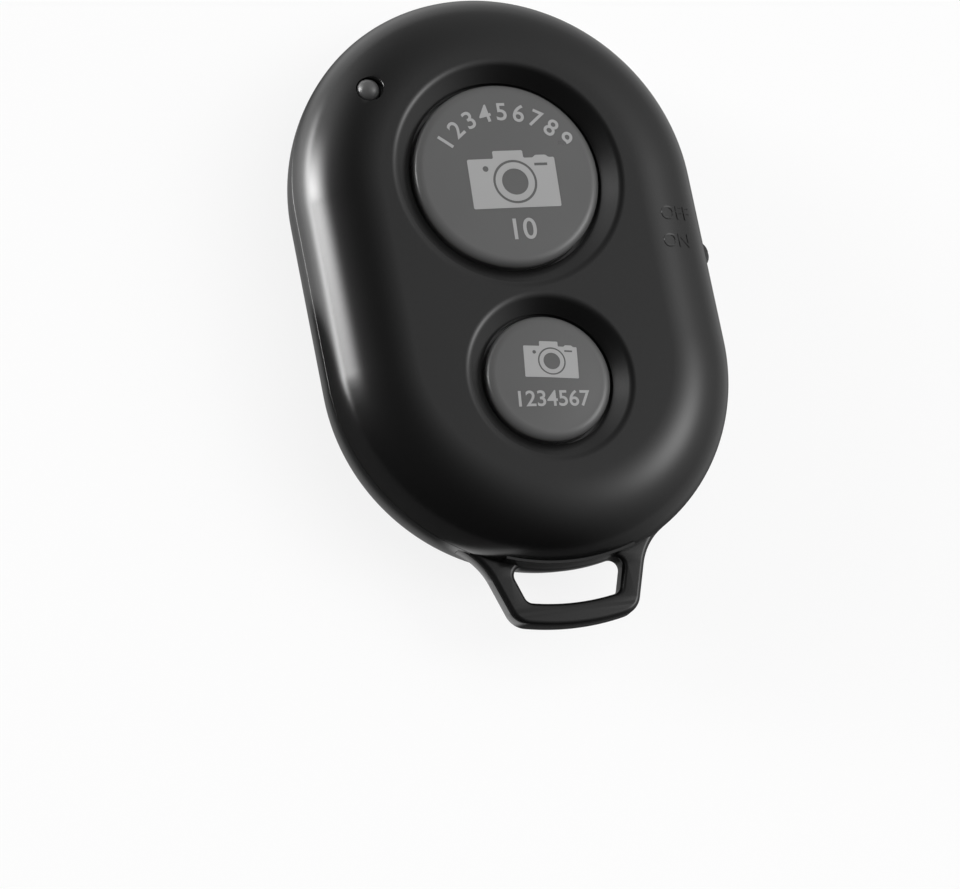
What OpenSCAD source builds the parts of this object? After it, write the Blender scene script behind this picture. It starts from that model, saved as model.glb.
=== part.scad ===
// Wireless shutter remote: a pill-shaped two-part case with two round buttons, a strap loop,
// a side slide switch and a hinged battery door. Origin at the centre of the flat back,
// +X towards the slide switch, +Y away from the strap loop, +Z towards the buttons.

/* [Body] */
// Width of the case
body_w = 32; // [31:0.25:34]
// Length of the case without the strap loop
body_l = 45.7; // [44.5:0.1:50]
// Thickness of the case
body_t = 11; // [10.9:0.05:12]
// Height of the seam between the two shells above the back
part_h = 6.6; // [6.45:0.05:6.75]
// Wall thickness of both shells
wall_t = 1.2; // [1:0.05:1.4]
// Floor thickness of the rear shell
floor_t = 1.1; // [1:0.05:1.3]
// Width of the front shell's rounded shoulder
front_round_w = 5.8; // [4.5:0.1:5.9]
// Width of the rear shell's rounded edge
back_round_w = 4; // [3.5:0.1:4.1]
// Power of the superellipse that both rounded edges follow
round_power = 2; // [1.9:0.05:2.4]
// Depth of the bevel on each shell that makes the seam groove
seam_bevel = 0.12; // [0.05:0.01:0.2]
// Height of the rear shell's lip inside the front shell
lip_h = 0.75; // [0.4:0.05:0.9]
// Thickness of the lip
lip_t = 0.55; // [0.4:0.05:0.6]
// Clearance between the lip and the front shell
lip_gap = 0.05; // [0.02:0.01:0.1]

/* [Strap loop] */
// Reach of the loop beyond the end of the case
loop_reach = 4.5; // [4.2:0.1:6]
// Thickness of the loop
loop_t = 1.7; // [1.4:0.1:2.4]
// Width of the loop at its tip
loop_tip_w = 9.5; // [9:0.1:10]
// Width of the loop's straight sides where they would meet the end of the case
loop_root_w = 12.5; // [12:0.1:13.2]
// Radius of the tip's slight outward curve
loop_bow_r = 20; // [18:1:40]
// Radius of the loop's outer corners
loop_corner_r = 1.7; // [1.2:0.1:2]
// Radius of the flare between the loop and the case
loop_flare_r = 5; // [4:0.1:6]
// Height of the band over the loop's root, above the seam
root_band_h = 1.2; // [0.8:0.05:1.3]
// Width of that band
root_band_w = 14.6; // [13.8:0.1:15.4]
// Radius of the loop's rounded edges
loop_edge_r = 0.4; // [0.2:0.05:0.5]
// Thickness of the bar at the loop's tip
loop_bar_t = 1.6; // [1.4:0.1:1.8]
// Distance from the end of the case to the slot's near edge
slot_setback = 0; // [0:0.05:0.3]
// Width of the slot at its near edge
slot_near_w = 9; // [8.8:0.1:9.3]
// Width of the slot at its far edge
slot_far_w = 7.2; // [6.9:0.1:7.4]
// Radius of the slot's corners
slot_corner_r = 0.7; // [0.5:0.05:0.9]

/* [Buttons] */
// Diameter of the large button
large_d = 14.8; // [14.2:0.1:15]
// Place of the large button along the case
large_y = 7.25; // [7.15:0.05:7.4]
// Depth of the large button's face below the front of the case
large_recess = 0.9; // [0.7:0.05:1]
// Diameter of the rim of the large button's well
large_rim_d = 18; // [17.6:0.1:18.2]
// Diameter of the small button
small_d = 9.9; // [9.5:0.1:10.1]
// Place of the small button along the case
small_y = -9.1; // [-9.25:0.05:-9]
// Depth of the small button's face below the front of the case
small_recess = 0.6; // [0.5:0.05:0.9]
// Diameter of the rim of the small button's well
small_rim_d = 13.1; // [12.8:0.1:13.3]
// Clearance between a button and its hole
button_gap = 0.2; // [0.1:0.05:0.25]
// Travel of both buttons
button_travel = 0.3; // [0.2:0.05:0.4]
// Radius of the button's upper edge
button_edge_r = 0.4; // [0.2:0.05:0.6]
// Thickness of the button's face
cap_t = 1.2; // [0.9:0.05:1.3]
// Thickness of the button's skirt
skirt_t = 1; // [0.7:0.05:1.3]
// Width of the flange round the foot of the skirt
flange_w = 0.85; // [0.6:0.05:1]
// Thickness of the flange
flange_t = 0.6; // [0.5:0.05:0.7]
// Clearance above the flange
flange_gap = 0.05; // [0.03:0.01:0.1]
// Radius of the button's stem
stem_r = 1.6; // [1.2:0.1:1.7]
// Thickness of the ribs that stiffen the button's face
rib_t = 0.8; // [0.5:0.05:1]
// Width of the ledge at the foot of a well
ledge_w = 0.25; // [0.2:0.05:0.35]
// Depth of a well's ledge below the button's face
ledge_drop = 0.75; // [0.65:0.05:0.85]
// Wall thickness under a well's ledge
collar_t = 0.75; // [0.65:0.05:0.8]
// Margin of the collar beyond the well's rim
collar_margin = 0.2; // [0.1:0.05:0.3]
// Width of the key that stops a button turning
key_w = 1; // [0.8:0.05:1.2]
// Clearance at the sides of the key
key_gap = 0.2; // [0.1:0.05:0.3]

/* [Indicator] */
// Diameter of the light pipe
pipe_d = 2; // [1.8:0.05:2.2]
// Clearance round the light pipe
pipe_gap = 0.08; // [0.05:0.01:0.1]
// Distance of the light pipe's middle from the edge of the case
pipe_inset = 3.55; // [3.4:0.05:3.7]
// Bearing of the light pipe from the middle of the case's round end
pipe_bearing = 139; // [136:1:141]
// Depth of the light pipe's tip below the front of the case
pipe_recess = 0.25; // [0.2:0.05:0.5]
// Width of the light pipe's collar
pipe_collar_w = 0.5; // [0.3:0.05:0.6]
// Height of the light pipe's collar
pipe_collar_h = 0.8; // [0.5:0.05:1]
// Gap between the light pipe and the lamp under it
pipe_lamp_gap = 0.3; // [0.1:0.05:0.5]
// Length of the lamp on the board
lamp_l = 2; // [1.6:0.1:2]
// Width of the lamp
lamp_w = 1.25; // [0.8:0.05:1.3]
// Height of the lamp
lamp_h = 0.8; // [0.6:0.05:1.1]

/* [Board] */
// Thickness of the circuit board
board_t = 0.8; // [0.6:0.05:0.85]
// Depth of the board's upper face below the front of the case
board_drop = 5.6; // [5.55:0.01:5.65]
// Gap between the board's edge and the shells
board_gap = 0.37; // [0.25:0.01:0.5]

/* [Push switches] */
// Side of a push switch's base
push_w = 6; // [5.5:0.1:6.2]
// Height of the base
push_base_h = 1.4; // [1.3:0.05:1.5]
// Height of the snap dome beyond the button's travel
dome_spare = 0.17; // [0.12:0.01:0.2]
// Radius of the pocket that holds the dome
push_pocket_r = 2.5; // [2.4:0.05:2.6]
// Thickness of the cover
push_cover_t = 0.2; // [0.15:0.05:0.25]
// Radius of the plunger
plunger_r = 1.75; // [1.6:0.05:1.8]
// Clearance between the plunger and its cover
plunger_gap = 0.1; // [0.06:0.01:0.15]
// Height of the plunger above the cover
plunger_reach = 0.5; // [0.45:0.05:0.6]
// Width of the plunger's foot beyond its shaft
plunger_foot_w = 0.4; // [0.3:0.05:0.5]
// Height of the plunger's foot
plunger_foot_h = 0.35; // [0.3:0.05:0.4]
// Sheet thickness of the snap dome
dome_t = 0.08; // [0.05:0.01:0.1]
// Width of a push switch's terminals
push_pin_w = 0.7; // [0.5:0.05:0.8]
// Reach of the terminals beyond the base
push_pin_l = 1.1; // [0.8:0.05:1.2]
// Thickness of the terminals
pin_t = 0.2; // [0.15:0.01:0.25]

/* [Slide switch] */
// Middle of the knob's travel along the case
slide_y = 1.75; // [1.6:0.05:1.9]
// Travel of the knob
slide_travel = 2; // [1.8:0.05:2.1]
// Depth of the slide switch's metal case
slide_case_w = 2.7; // [2.6:0.05:2.75]
// Length of the case
slide_case_l = 6.7; // [6.5:0.1:7]
// Height of the case
slide_case_h = 1.4; // [1.35:0.01:1.45]
// Sheet thickness of the case
slide_sheet_t = 0.15; // [0.1:0.01:0.18]
// Distance from the board's edge to the case
slide_setback = 0.1; // [0.05:0.01:0.15]
// Thickness of the plastic base
slide_base_h = 0.35; // [0.3:0.01:0.38]
// Length of the knob's nub along the case
nub_l = 2; // [1.9:0.05:2.2]
// Height of the nub
nub_h = 1.4; // [1.2:0.05:1.45]
// Reach of the nub beyond the side of the case
nub_reach = 0.6; // [0.5:0.05:1]
// Length of the neck behind the nub
neck_l = 1.2; // [1:0.05:1.3]
// Clearance round the nub in its slot
nub_gap = 0.3; // [0.2:0.05:0.32]
// Clearance round the knob inside the metal case
slide_gap = 0.1; // [0.06:0.01:0.12]
// Thickness of the sliding contact
wiper_t = 0.15; // [0.1:0.01:0.16]

/* [Battery] */
// Diameter of the coin cell
cell_d = 20; // [19.8:0.05:20]
// Place of the cell along the case
cell_y = 3.6; // [3.5:0.05:3.7]
// Clearance between the cell and its bay
cell_gap = 0.2; // [0.1:0.05:0.25]
// Sheet thickness of the cell's metal parts
cell_sheet_t = 0.25; // [0.2:0.01:0.3]
// Height of the cell's cap above its can
cap_reach = 0.35; // [0.3:0.01:0.5]
// Width of the can's crimped rim
crimp_w = 0.6; // [0.5:0.05:0.65]
// Distance from the can's outside to the cap's outside
cap_inset = 1; // [0.9:0.05:1.1]
// Height of the cap's lower edge above the cell's base
cap_foot_h = 0.7; // [0.6:0.05:1]
// Clearance between the parts of the cell
cell_part_gap = 0.03; // [0.02:0.01:0.04]
// Thickness of the contact springs
spring_t = 0.15; // [0.1:0.01:0.18]
// Width of the contact springs
spring_w = 4; // [3.5:0.1:4.5]
// Length of the contact springs' feet
spring_foot_l = 1.8; // [1.6:0.1:2]
// Height of the side contact's foot above the cell's base, as a share of the cell
side_leg_share = 0.44; // [0.3:0.01:0.6]
// Reach of the top contact's finger
finger_l = 5; // [4:0.1:6]
// Height between the cell and the board for the top contact
spring_room = 0.4; // [0.35:0.01:0.45]

/* [Battery door] */
// Width of the battery door
door_w = 22.4; // [22:0.05:22.6]
// Length of the door
door_l = 24; // [23.6:0.05:24.2]
// Thickness of the door
door_t = 0.9; // [0.85:0.01:0.92]
// Radius of the door's corners
door_corner_r = 6; // [5.9:0.05:6.4]
// Clearance round the door
door_gap = 0.1; // [0.08:0.01:0.12]
// Opening angle of the door
door_swing = 45; // [20:1:50]
// Distance of each tongue's middle from the centre line
tongue_x = 3.4; // [3:0.1:3.5]
// Width of a tongue
tongue_w = 2.8; // [2:0.1:3]
// Thickness of a tongue
tongue_t = 0.6; // [0.5:0.05:0.65]
// Reach of a tongue under the shell's rim
tongue_l = 1.2; // [1:0.05:1.3]
// Length of a tongue's root on the door
tongue_root_l = 1.5; // [1.2:0.05:1.6]
// Thickness of the shell's rim under a tongue
rim_t = 0.7; // [0.6:0.01:0.72]
// Width of the latch tab
latch_w = 5; // [4:0.1:6]
// Thickness of the latch tab
latch_t = 0.8; // [0.6:0.05:0.85]
// Height of the latch tab above the door
latch_h = 0.8; // [0.6:0.05:1]
// Distance from the door's edge to the latch tab
latch_setback = 0.3; // [0.25:0.01:0.35]
// Radius of the fingernail scoop
scoop_r = 5; // [4.5:0.1:6]
// Depth of the scoop
scoop_depth = 0.7; // [0.5:0.01:0.75]
// Distance from the door's edge to the scoop's middle
scoop_offset = 1; // [0.5:0.05:1.5]

/* [Screws] */
// Distance of a screw from the door's side
screw_inset_x = 1.9; // [1.85:0.05:1.95]
// Distance of a screw from the door's latch end
screw_inset_y = 4.3; // [4.25:0.05:4.35]
// Radius of a screw's head
head_r = 1.3; // [1.2:0.01:1.32]
// Height of the head
head_h = 0.9; // [0.8:0.05:1]
// Depth of the hollow over the head
head_room = 1.2; // [1.1:0.05:1.4]
// Radius of a screw's thread
thread_r = 0.8; // [0.7:0.01:0.82]
// Length of the thread
thread_l = 5.8; // [5.4:0.05:6]
// Clearance round the thread in the rear shell and the board
thread_gap = 0.1; // [0.08:0.01:0.15]
// Clearance round the thread in its boss
thread_fit = 0.02; // [0.01:0.01:0.03]
// Radius of the front shell's screw bosses
boss_r = 1.5; // [1.4:0.05:1.55]
// Width of the cross recess
cross_w = 0.3; // [0.25:0.01:0.35]
// Length of the cross recess
cross_l = 1.5; // [1.3:0.05:1.7]
// Depth of the cross recess
cross_depth = 0.45; // [0.3:0.01:0.5]

/* [Chips] */
// Place of the radio chip along the case
radio_y = -1.4; // [-1.5:0.05:-1.3]
// Side of the radio chip
radio_w = 5; // [4.6:0.1:5]
// Height of the radio chip
radio_h = 0.85; // [0.75:0.05:0.95]
// Distance of the crystal's middle from the centre line
crystal_x = 6.3; // [6.2:0.1:6.4]
// Width of the crystal
crystal_w = 2.5; // [2:0.1:2.6]
// Length of the crystal
crystal_l = 3.2; // [2.8:0.1:3.4]
// Height of the crystal
crystal_h = 0.7; // [0.5:0.05:0.8]
// Distance of the memory chip's middle from the centre line
memory_x = 5.9; // [5.8:0.05:6]
// Width of the memory chip
memory_w = 3; // [2.8:0.05:3]
// Length of the memory chip
memory_l = 4.2; // [4:0.05:4.3]
// Height of the memory chip
memory_h = 1; // [0.8:0.05:1.1]
// Number of leads on each side of the memory chip
memory_leads = 4; // [3:1:4]
// Length of a lead
lead_l = 0.8; // [0.6:0.05:0.85]
// Width of a lead
lead_w = 0.3; // [0.2:0.01:0.35]
// Width of a capacitor or resistor
bit_w = 0.6; // [0.5:0.05:0.65]
// Length of a capacitor or resistor
bit_l = 1; // [0.8:0.05:1.05]
// Height of a capacitor
capacitor_h = 0.55; // [0.4:0.05:0.6]
// Height of a resistor
resistor_h = 0.35; // [0.3:0.05:0.4]
// Gap between a chip and the small parts beside it
bit_gap = 0.4; // [0.3:0.05:0.45]
// Distance between small parts in a row
bit_pitch = 1.5; // [1.4:0.05:1.6]
// Number of small parts in a row
bit_count = 3; // [2:1:3]

/* [Antenna] */
// Distance from the board's end to the antenna
antenna_setback = 1.9; // [1.8:0.05:2.2]
// Height of the antenna's folds
antenna_l = 3; // [2.6:0.1:3.1]
// Distance between the antenna's strips
antenna_pitch = 1.4; // [1.2:0.05:1.45]
// Width of a strip
antenna_w = 0.4; // [0.3:0.05:0.5]
// Thickness of the copper
antenna_t = 0.1; // [0.05:0.01:0.12]
// Number of folds
antenna_folds = 6; // [4:2:6]

/* [Hidden] */

// How far a cut runs past the face that it opens
overrun = 0.5;
// Facets of round parts
round_fn = 96;
// Steps along a rounded edge, a small arc and the loop's rounded edge
edge_steps = 14;
arc_steps = 6;
loop_steps = 3;

shell_color = "#1b1b1d";
button_color = "#6e6f71";
metal_color = "#c8c9cb";
copper_color = "#c98a4b";
chip_color = "#232426";

body_r = body_w / 2;
end_y = (body_l - body_w) / 2;
inner_r = body_r - wall_t;
front_in_z = body_t - wall_t;
lip_z = part_h + lip_h;
rebate_r = inner_r + lip_t + lip_gap;
rebate_z = lip_z + lip_gap;

board_top = body_t - board_drop;
board_z = board_top - board_t;

cell_r = cell_d / 2;
cell_z = door_t + door_gap;
cell_top = board_z - spring_room;
cell_t = cell_top - cell_z;
can_h = cell_t - cap_reach;
side_leg_z = cell_z + cell_t * side_leg_share;
door_low_y = cell_y - door_l / 2;
door_high_y = cell_y + door_l / 2;
bay_margin = door_gap + overrun;
tongue_top = rim_t + door_gap / 2 + tongue_t;
tongue_peak_a = min(door_swing, atan2(tongue_l, tongue_top));
tongue_room_z = tongue_l * sin(tongue_peak_a) + tongue_top * cos(tongue_peak_a) + 4 * door_gap;

screw_x = door_w / 2 - screw_inset_x;
screw_y = door_low_y + screw_inset_y;
seat_z = cell_z + head_room;

push_floor_t = push_base_h - plunger_foot_h - dome_t - button_travel - dome_spare;
plunger_top = board_top + push_base_h + push_cover_t + plunger_reach;
plunger_foot_z = board_top + push_base_h - plunger_foot_h;

nub_z = board_top + slide_case_h / 2;
knob_y = slide_y - slide_travel / 2;

loop_tip_y = -(end_y + body_r + loop_reach);
loop_end = [0, -end_y];
loop_root_r = inner_r + wall_t / 4;
bow_c = [0, loop_tip_y + loop_bow_r];

pipe_at = [0, end_y] + (body_r - pipe_inset) * [cos(pipe_bearing), sin(pipe_bearing)];

// Points of an arc about c
function arc(c, r, a0, a1, n) = [
    for (i = [0 : n]) let (a = a0 + (a1 - a0) * i / n) c + r * [cos(a), sin(a)]
];

// Quarter of a superellipse from its crown at r0 to its edge at r0 + w
function shoulder(r0, w, z_edge, z_crown) = [
    for (i = [0 : edge_steps]) let (a = 90 * i / edge_steps) [
        r0 + w * pow(sin(a), 2 / round_power),
        z_edge + (z_crown - z_edge) * pow(cos(a), 2 / round_power)
    ]
];

// Distance from the middle to the rear shell's inner wall at height z
function rear_room_r(z) =
    let (rise = max(0, part_h - z) / (part_h - floor_t), a = asin(pow(rise, round_power / 2)))
    inner_r - (back_round_w - wall_t) * (1 - pow(cos(a), 2 / round_power));

board_r = rear_room_r(board_z) - board_gap;
slide_x = board_r - slide_setback;
slide_back_x = slide_x - slide_case_w;

function backwards(list) = [for (i = [len(list) - 1 : -1 : 0]) list[i]];

// A half outline that starts and ends on the axis, completed with its mirror image
function both_sides(half) = concat(
    half,
    [for (i = [len(half) - 2 : -1 : 1]) [-half[i][0], half[i][1]]]
);

// Outline of a rectangle with round corners
function rounded(w, l, r) = concat(
    arc([w / 2 - r, l / 2 - r], r, 0, 90, arc_steps),
    arc([r - w / 2, l / 2 - r], r, 90, 180, arc_steps),
    arc([r - w / 2, r - l / 2], r, 180, 270, arc_steps),
    arc([w / 2 - r, r - l / 2], r, 270, 360, arc_steps)
);

// First point along a line from p in direction d that lies at distance far from c
function on_line(p, d, c, far) =
    let (w = p - c, b = w * d) p + d * (-b - sqrt(b * b - w * w + far * far));

function unit(v) = v / norm(v);
function bearing(v) = atan2(v[1], v[0]);

// The wall of each shell as a half section
front_wall = concat(
    [[0, body_t]],
    shoulder(body_r - front_round_w, front_round_w, part_h + seam_bevel, body_t),
    [[body_r - seam_bevel, part_h], [rebate_r, part_h], [rebate_r, rebate_z]],
    backwards(shoulder(body_r - front_round_w, front_round_w - wall_t, rebate_z, front_in_z)),
    [[0, front_in_z]]
);
rear_wall = concat(
    [[0, 0]],
    shoulder(body_r - back_round_w, back_round_w, part_h - seam_bevel, 0),
    [[body_r - seam_bevel, part_h], [inner_r + lip_t, part_h]],
    [[inner_r + lip_t, lip_z], [inner_r, lip_z]],
    backwards(shoulder(body_r - back_round_w, back_round_w - wall_t, part_h, floor_t)),
    [[0, floor_t]]
);

// A half section swept round the pill: a half turn at each end and a straight run between
module pill(half) {
    for (side = [0, 1])
        mirror([0, side, 0])
            translate([0, end_y, 0])
                rotate_extrude(angle = 180, $fn = round_fn) polygon(half);
    translate([0, end_y, 0])
        rotate([90, 0, 0]) linear_extrude(height = 2 * end_y) polygon(both_sides(half));
}

// A block on the floor of its own frame, centred in X and Y
module block(w, l, h) {
    translate([-w / 2, -l / 2, 0]) cube([w, l, h]);
}

// Cut for a button: its hole, the ledge round it and the soft wall up to the rim
module well(d, rim_d, recess) {
    hole_r = d / 2 + button_gap;
    ledge_z = body_t - recess - ledge_drop;
    ledge_r = hole_r + ledge_w;
    wall_w = rim_d / 2 - ledge_r;
    rise = body_t - ledge_z;
    slope = [
        for (i = [1 : edge_steps])
            let (u = i / edge_steps) [ledge_r + wall_w * u, ledge_z + rise * u * u * (3 - 2 * u)]
    ];
    rotate_extrude($fn = round_fn)
        polygon(concat(
            [[0, part_h], [hole_r, part_h], [hole_r, ledge_z], [ledge_r, ledge_z]],
            slope,
            [[rim_d / 2, body_t + overrun], [0, body_t + overrun]]
        ));
}

// Thickening of the front under a well, and the key that hangs from it
module collar(d, rim_d, recess) {
    collar_z = body_t - recess - ledge_drop - collar_t;
    collar_r = rim_d / 2 + collar_margin;
    key_x = d / 2 + button_gap + key_gap;
    translate([0, 0, collar_z])
        cylinder(r = collar_r, h = front_in_z - collar_z + wall_t / 2, $fn = round_fn);
    translate([key_x, -key_w / 2, collar_z - flange_t - flange_gap])
        cube([collar_r - key_x, key_w, flange_t + flange_gap + collar_t / 2]);
}

// Slot for the knob's nub in the side of a shell, up to height high_z
module nub_slot(high_z) {
    slot_l = nub_l + slide_travel + 2 * nub_gap;
    low_z = nub_z - nub_h / 2 - nub_gap;
    translate([inner_r - overrun, slide_y - slot_l / 2, low_z])
        cube([wall_t + 2 * overrun, slot_l, high_z - low_z]);
}

// Ring sector of width w over the loop's root, between radius low_r and radius high_r
module root_band(low_r, high_r, w) {
    turn = asin(w / 2 / body_r);
    translate([0, 0, part_h - 2 * seam_bevel])
        linear_extrude(height = root_band_h + 2 * seam_bevel)
            polygon(concat(
                arc(loop_end, low_r, -90 - turn, -90 + turn, edge_steps),
                arc(loop_end, high_r, -90 + turn, -90 - turn, edge_steps)
            ));
}

module front_shell() {
    color(shell_color)
        difference() {
            union() {
                pill(front_wall);
                translate([0, large_y, 0]) collar(large_d, large_rim_d, large_recess);
                translate([0, small_y, 0]) collar(small_d, small_rim_d, small_recess);
                for (side = [-1, 1])
                    translate([side * screw_x, screw_y, board_top])
                        cylinder(r = boss_r, h = front_in_z + wall_t / 2 - board_top, $fn = round_fn);
            }
            translate([0, large_y, 0]) well(large_d, large_rim_d, large_recess);
            translate([0, small_y, 0]) well(small_d, small_rim_d, small_recess);
            for (side = [-1, 1])
                translate([side * screw_x, screw_y, board_top - overrun])
                    cylinder(
                        r = thread_r + thread_fit,
                        h = seat_z + thread_l + 2 * overrun - board_top,
                        $fn = round_fn
                    );
            translate([pipe_at[0], pipe_at[1], part_h])
                cylinder(r = pipe_d / 2 + pipe_gap, h = body_t, $fn = round_fn);
            nub_slot(nub_z + nub_h / 2 + nub_gap);
            root_band(rebate_r, body_r + overrun, root_band_w + 2 * lip_gap);
        }
}

// Half outline of the strap loop, drawn in by inset all round
function loop_outline(inset) =
    let (
        tip = [loop_tip_w / 2, loop_tip_y],
        along = unit([loop_root_w / 2, loop_tip_y + loop_reach] - tip),
        out = [along[1], -along[0]],
        corner_c = on_line(tip - out * loop_corner_r, along, bow_c, loop_bow_r - loop_corner_r),
        flare_c = on_line(tip + out * loop_flare_r, along, loop_end, body_r + loop_flare_r),
        corner_a = bearing(corner_c - bow_c),
        root_a = bearing(flare_c - loop_end)
    ) both_sides(concat(
        arc(bow_c, loop_bow_r - inset, -90, corner_a, arc_steps),
        arc(corner_c, loop_corner_r - inset, corner_a, bearing(out), arc_steps),
        arc(flare_c, loop_flare_r + inset, bearing(-out), bearing(loop_end - flare_c), arc_steps),
        arc(loop_end, loop_root_r, root_a, -90, edge_steps)
    ));

// Outline of the strap slot, grown by inset all round
function slot_outline(inset) =
    let (
        far = [slot_far_w / 2, loop_tip_y + loop_bar_t],
        near_r = body_r + slot_setback,
        along = unit([slot_near_w / 2, -end_y - near_r] - far),
        out = [along[1], -along[0]],
        line = far - out * slot_corner_r,
        far_c = on_line(line, along, bow_c, loop_bow_r - loop_bar_t - slot_corner_r),
        near_c = on_line(line, along, loop_end, near_r + slot_corner_r),
        far_a = bearing(far_c - bow_c),
        near_a = bearing(near_c - loop_end)
    ) both_sides(concat(
        arc(bow_c, loop_bow_r - loop_bar_t + inset, -90, far_a, arc_steps),
        arc(far_c, slot_corner_r + inset, far_a, bearing(out), arc_steps),
        arc(near_c, slot_corner_r + inset, bearing(out), near_a + 180, arc_steps),
        arc(loop_end, near_r - inset, near_a, -90, arc_steps)
    ));

// Strap loop as nested plates, each taller and more drawn in than the one inside it
module strap_loop() {
    for (i = [0 : loop_steps]) {
        a = 90 * i / loop_steps;
        drop = loop_edge_r * (1 - sin(a));
        inset = loop_edge_r * (1 - cos(a));
        translate([0, 0, part_h - loop_t + drop])
            linear_extrude(height = loop_t - 2 * drop)
                difference() {
                    polygon(loop_outline(inset));
                    polygon(slot_outline(inset));
                }
    }
}

module rear_shell() {
    color(shell_color)
        difference() {
            union() {
                pill(rear_wall);
                strap_loop();
                root_band(rebate_r + lip_gap, body_r, root_band_w);
                translate([0, cell_y, floor_t / 2])
                    linear_extrude(height = board_z - floor_t / 2)
                        polygon(rounded(
                            door_w + 2 * bay_margin,
                            door_l + 2 * bay_margin,
                            door_corner_r + bay_margin
                        ));
            }
            translate([0, cell_y, -overrun])
                linear_extrude(height = cell_z + overrun)
                    polygon(rounded(
                        door_w + 2 * door_gap,
                        door_l + 2 * door_gap,
                        door_corner_r + door_gap
                    ));
            translate([0, cell_y, door_t])
                cylinder(r = cell_r + cell_gap, h = board_z + overrun - door_t, $fn = round_fn);
            for (side = [-1, 1])
                translate([
                    side * tongue_x - tongue_w / 2 - 2 * door_gap,
                    door_high_y - tongue_root_l - overrun,
                    rim_t
                ])
                    cube([
                        tongue_w + 4 * door_gap,
                        tongue_root_l + tongue_l + 2 * door_gap + overrun,
                        tongue_room_z - rim_t
                    ]);
            translate([-latch_w / 2 - 2 * door_gap, door_low_y, door_t])
                cube([
                    latch_w + 4 * door_gap,
                    2 * latch_setback + latch_t,
                    latch_h + 2 * door_gap
                ]);
            translate([
                -cell_r - cell_gap - spring_foot_l,
                cell_y - spring_w / 2 - cell_gap,
                side_leg_z - cell_gap
            ])
                cube([spring_foot_l + cell_gap + overrun, spring_w + 2 * cell_gap, board_z]);
            for (side = [-1, 1])
                translate([side * screw_x, screw_y, 0]) {
                    translate([0, 0, door_t])
                        cylinder(r = head_r + thread_gap, h = seat_z - door_t, $fn = round_fn);
                    translate([0, 0, door_t])
                        cylinder(r = thread_r + thread_gap, h = board_z, $fn = round_fn);
                }
            translate([0, door_low_y - scoop_offset, scoop_depth - scoop_r])
                sphere(r = scoop_r, $fn = round_fn);
            nub_slot(lip_z + overrun);
        }
}

// The door turns about its lower edge at the tongue end
module battery_door() {
    color(shell_color) {
        translate([0, cell_y, 0])
            linear_extrude(height = door_t) polygon(rounded(door_w, door_l, door_corner_r));
        for (side = [-1, 1])
            translate([
                side * tongue_x - tongue_w / 2,
                door_high_y - tongue_root_l,
                rim_t + door_gap / 2
            ])
                cube([tongue_w, tongue_root_l + tongue_l, tongue_t]);
        translate([-latch_w / 2, door_low_y + latch_setback, door_t / 2])
            cube([latch_w, latch_t, latch_h + door_t / 2]);
    }
}

// A push button: face, skirt, flange, stem and the ribs under its face
module button(d, recess) {
    face_z = body_t - recess;
    under_z = face_z - cap_t;
    flange_top = face_z - ledge_drop - collar_t - flange_gap;
    flange_z = flange_top - flange_t;
    flange_r = d / 2 + flange_w;
    key_x = d / 2 + button_gap;
    hollow_r = d / 2 - skirt_t;
    color(button_color) {
        difference() {
            rotate_extrude($fn = round_fn)
                polygon(concat(
                    [[0, flange_z], [flange_r, flange_z], [flange_r, flange_top], [d / 2, flange_top]],
                    arc([d / 2 - button_edge_r, face_z - button_edge_r], button_edge_r, 0, 90, arc_steps),
                    [[0, face_z]]
                ));
            translate([0, 0, flange_z - overrun])
                cylinder(r = hollow_r, h = under_z - flange_z + overrun, $fn = round_fn);
            translate([key_x, -key_w / 2 - key_gap, flange_z - overrun])
                cube([flange_r, key_w + 2 * key_gap, flange_t + 2 * overrun]);
        }
        translate([0, 0, plunger_top])
            cylinder(r = stem_r, h = under_z + cap_t / 2 - plunger_top, $fn = round_fn);
        for (turn = [0, 90])
            rotate([0, 0, turn])
                translate([0, 0, flange_z])
                    block(2 * hollow_r + skirt_t, rib_t, under_z + cap_t / 2 - flange_z);
    }
}

module large_button() {
    translate([0, large_y, 0]) button(large_d, large_recess);
}

module small_button() {
    translate([0, small_y, 0]) button(small_d, small_recess);
}

// Clear pin that carries the lamp's light to the front
module light_pipe() {
    pipe_r = pipe_d / 2;
    foot_z = board_top + lamp_h + pipe_lamp_gap;
    tip_z = body_t - pipe_recess;
    color("#9a9b9e", 0.8)
        translate(pipe_at)
            rotate_extrude($fn = round_fn)
                polygon(concat(
                    [
                        [0, foot_z],
                        [pipe_r + pipe_collar_w, foot_z],
                        [pipe_r + pipe_collar_w, foot_z + pipe_collar_h],
                        [pipe_r, foot_z + pipe_collar_h]
                    ],
                    arc([0, tip_z - pipe_r], pipe_r, 0, 90, arc_steps)
                ));
}

module circuit_board() {
    color("#1f5c3a")
        difference() {
            pill([[0, board_z], [board_r, board_z], [board_r, board_top], [0, board_top]]);
            for (side = [-1, 1])
                translate([side * screw_x, screw_y, board_z - overrun])
                    cylinder(r = thread_r + thread_gap, h = board_t + 2 * overrun, $fn = round_fn);
        }
}

// Folded copper strip at the loop end of the board
module antenna_trace() {
    low_y = -end_y - board_r + antenna_setback;
    first_x = -antenna_pitch * antenna_folds / 2;
    color(copper_color)
        for (i = [0 : antenna_folds])
            translate([first_x + i * antenna_pitch, low_y, board_top]) {
                translate([-antenna_w / 2, 0, 0]) cube([antenna_w, antenna_l, antenna_t]);
                if (i < antenna_folds)
                    translate([-antenna_w / 2, i % 2 == 0 ? antenna_l - antenna_w : 0, 0])
                        cube([antenna_pitch + antenna_w, antenna_w, antenna_t]);
            }
}

module radio_chip() {
    color(chip_color) translate([0, radio_y, board_top]) block(radio_w, radio_w, radio_h);
}

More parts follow.
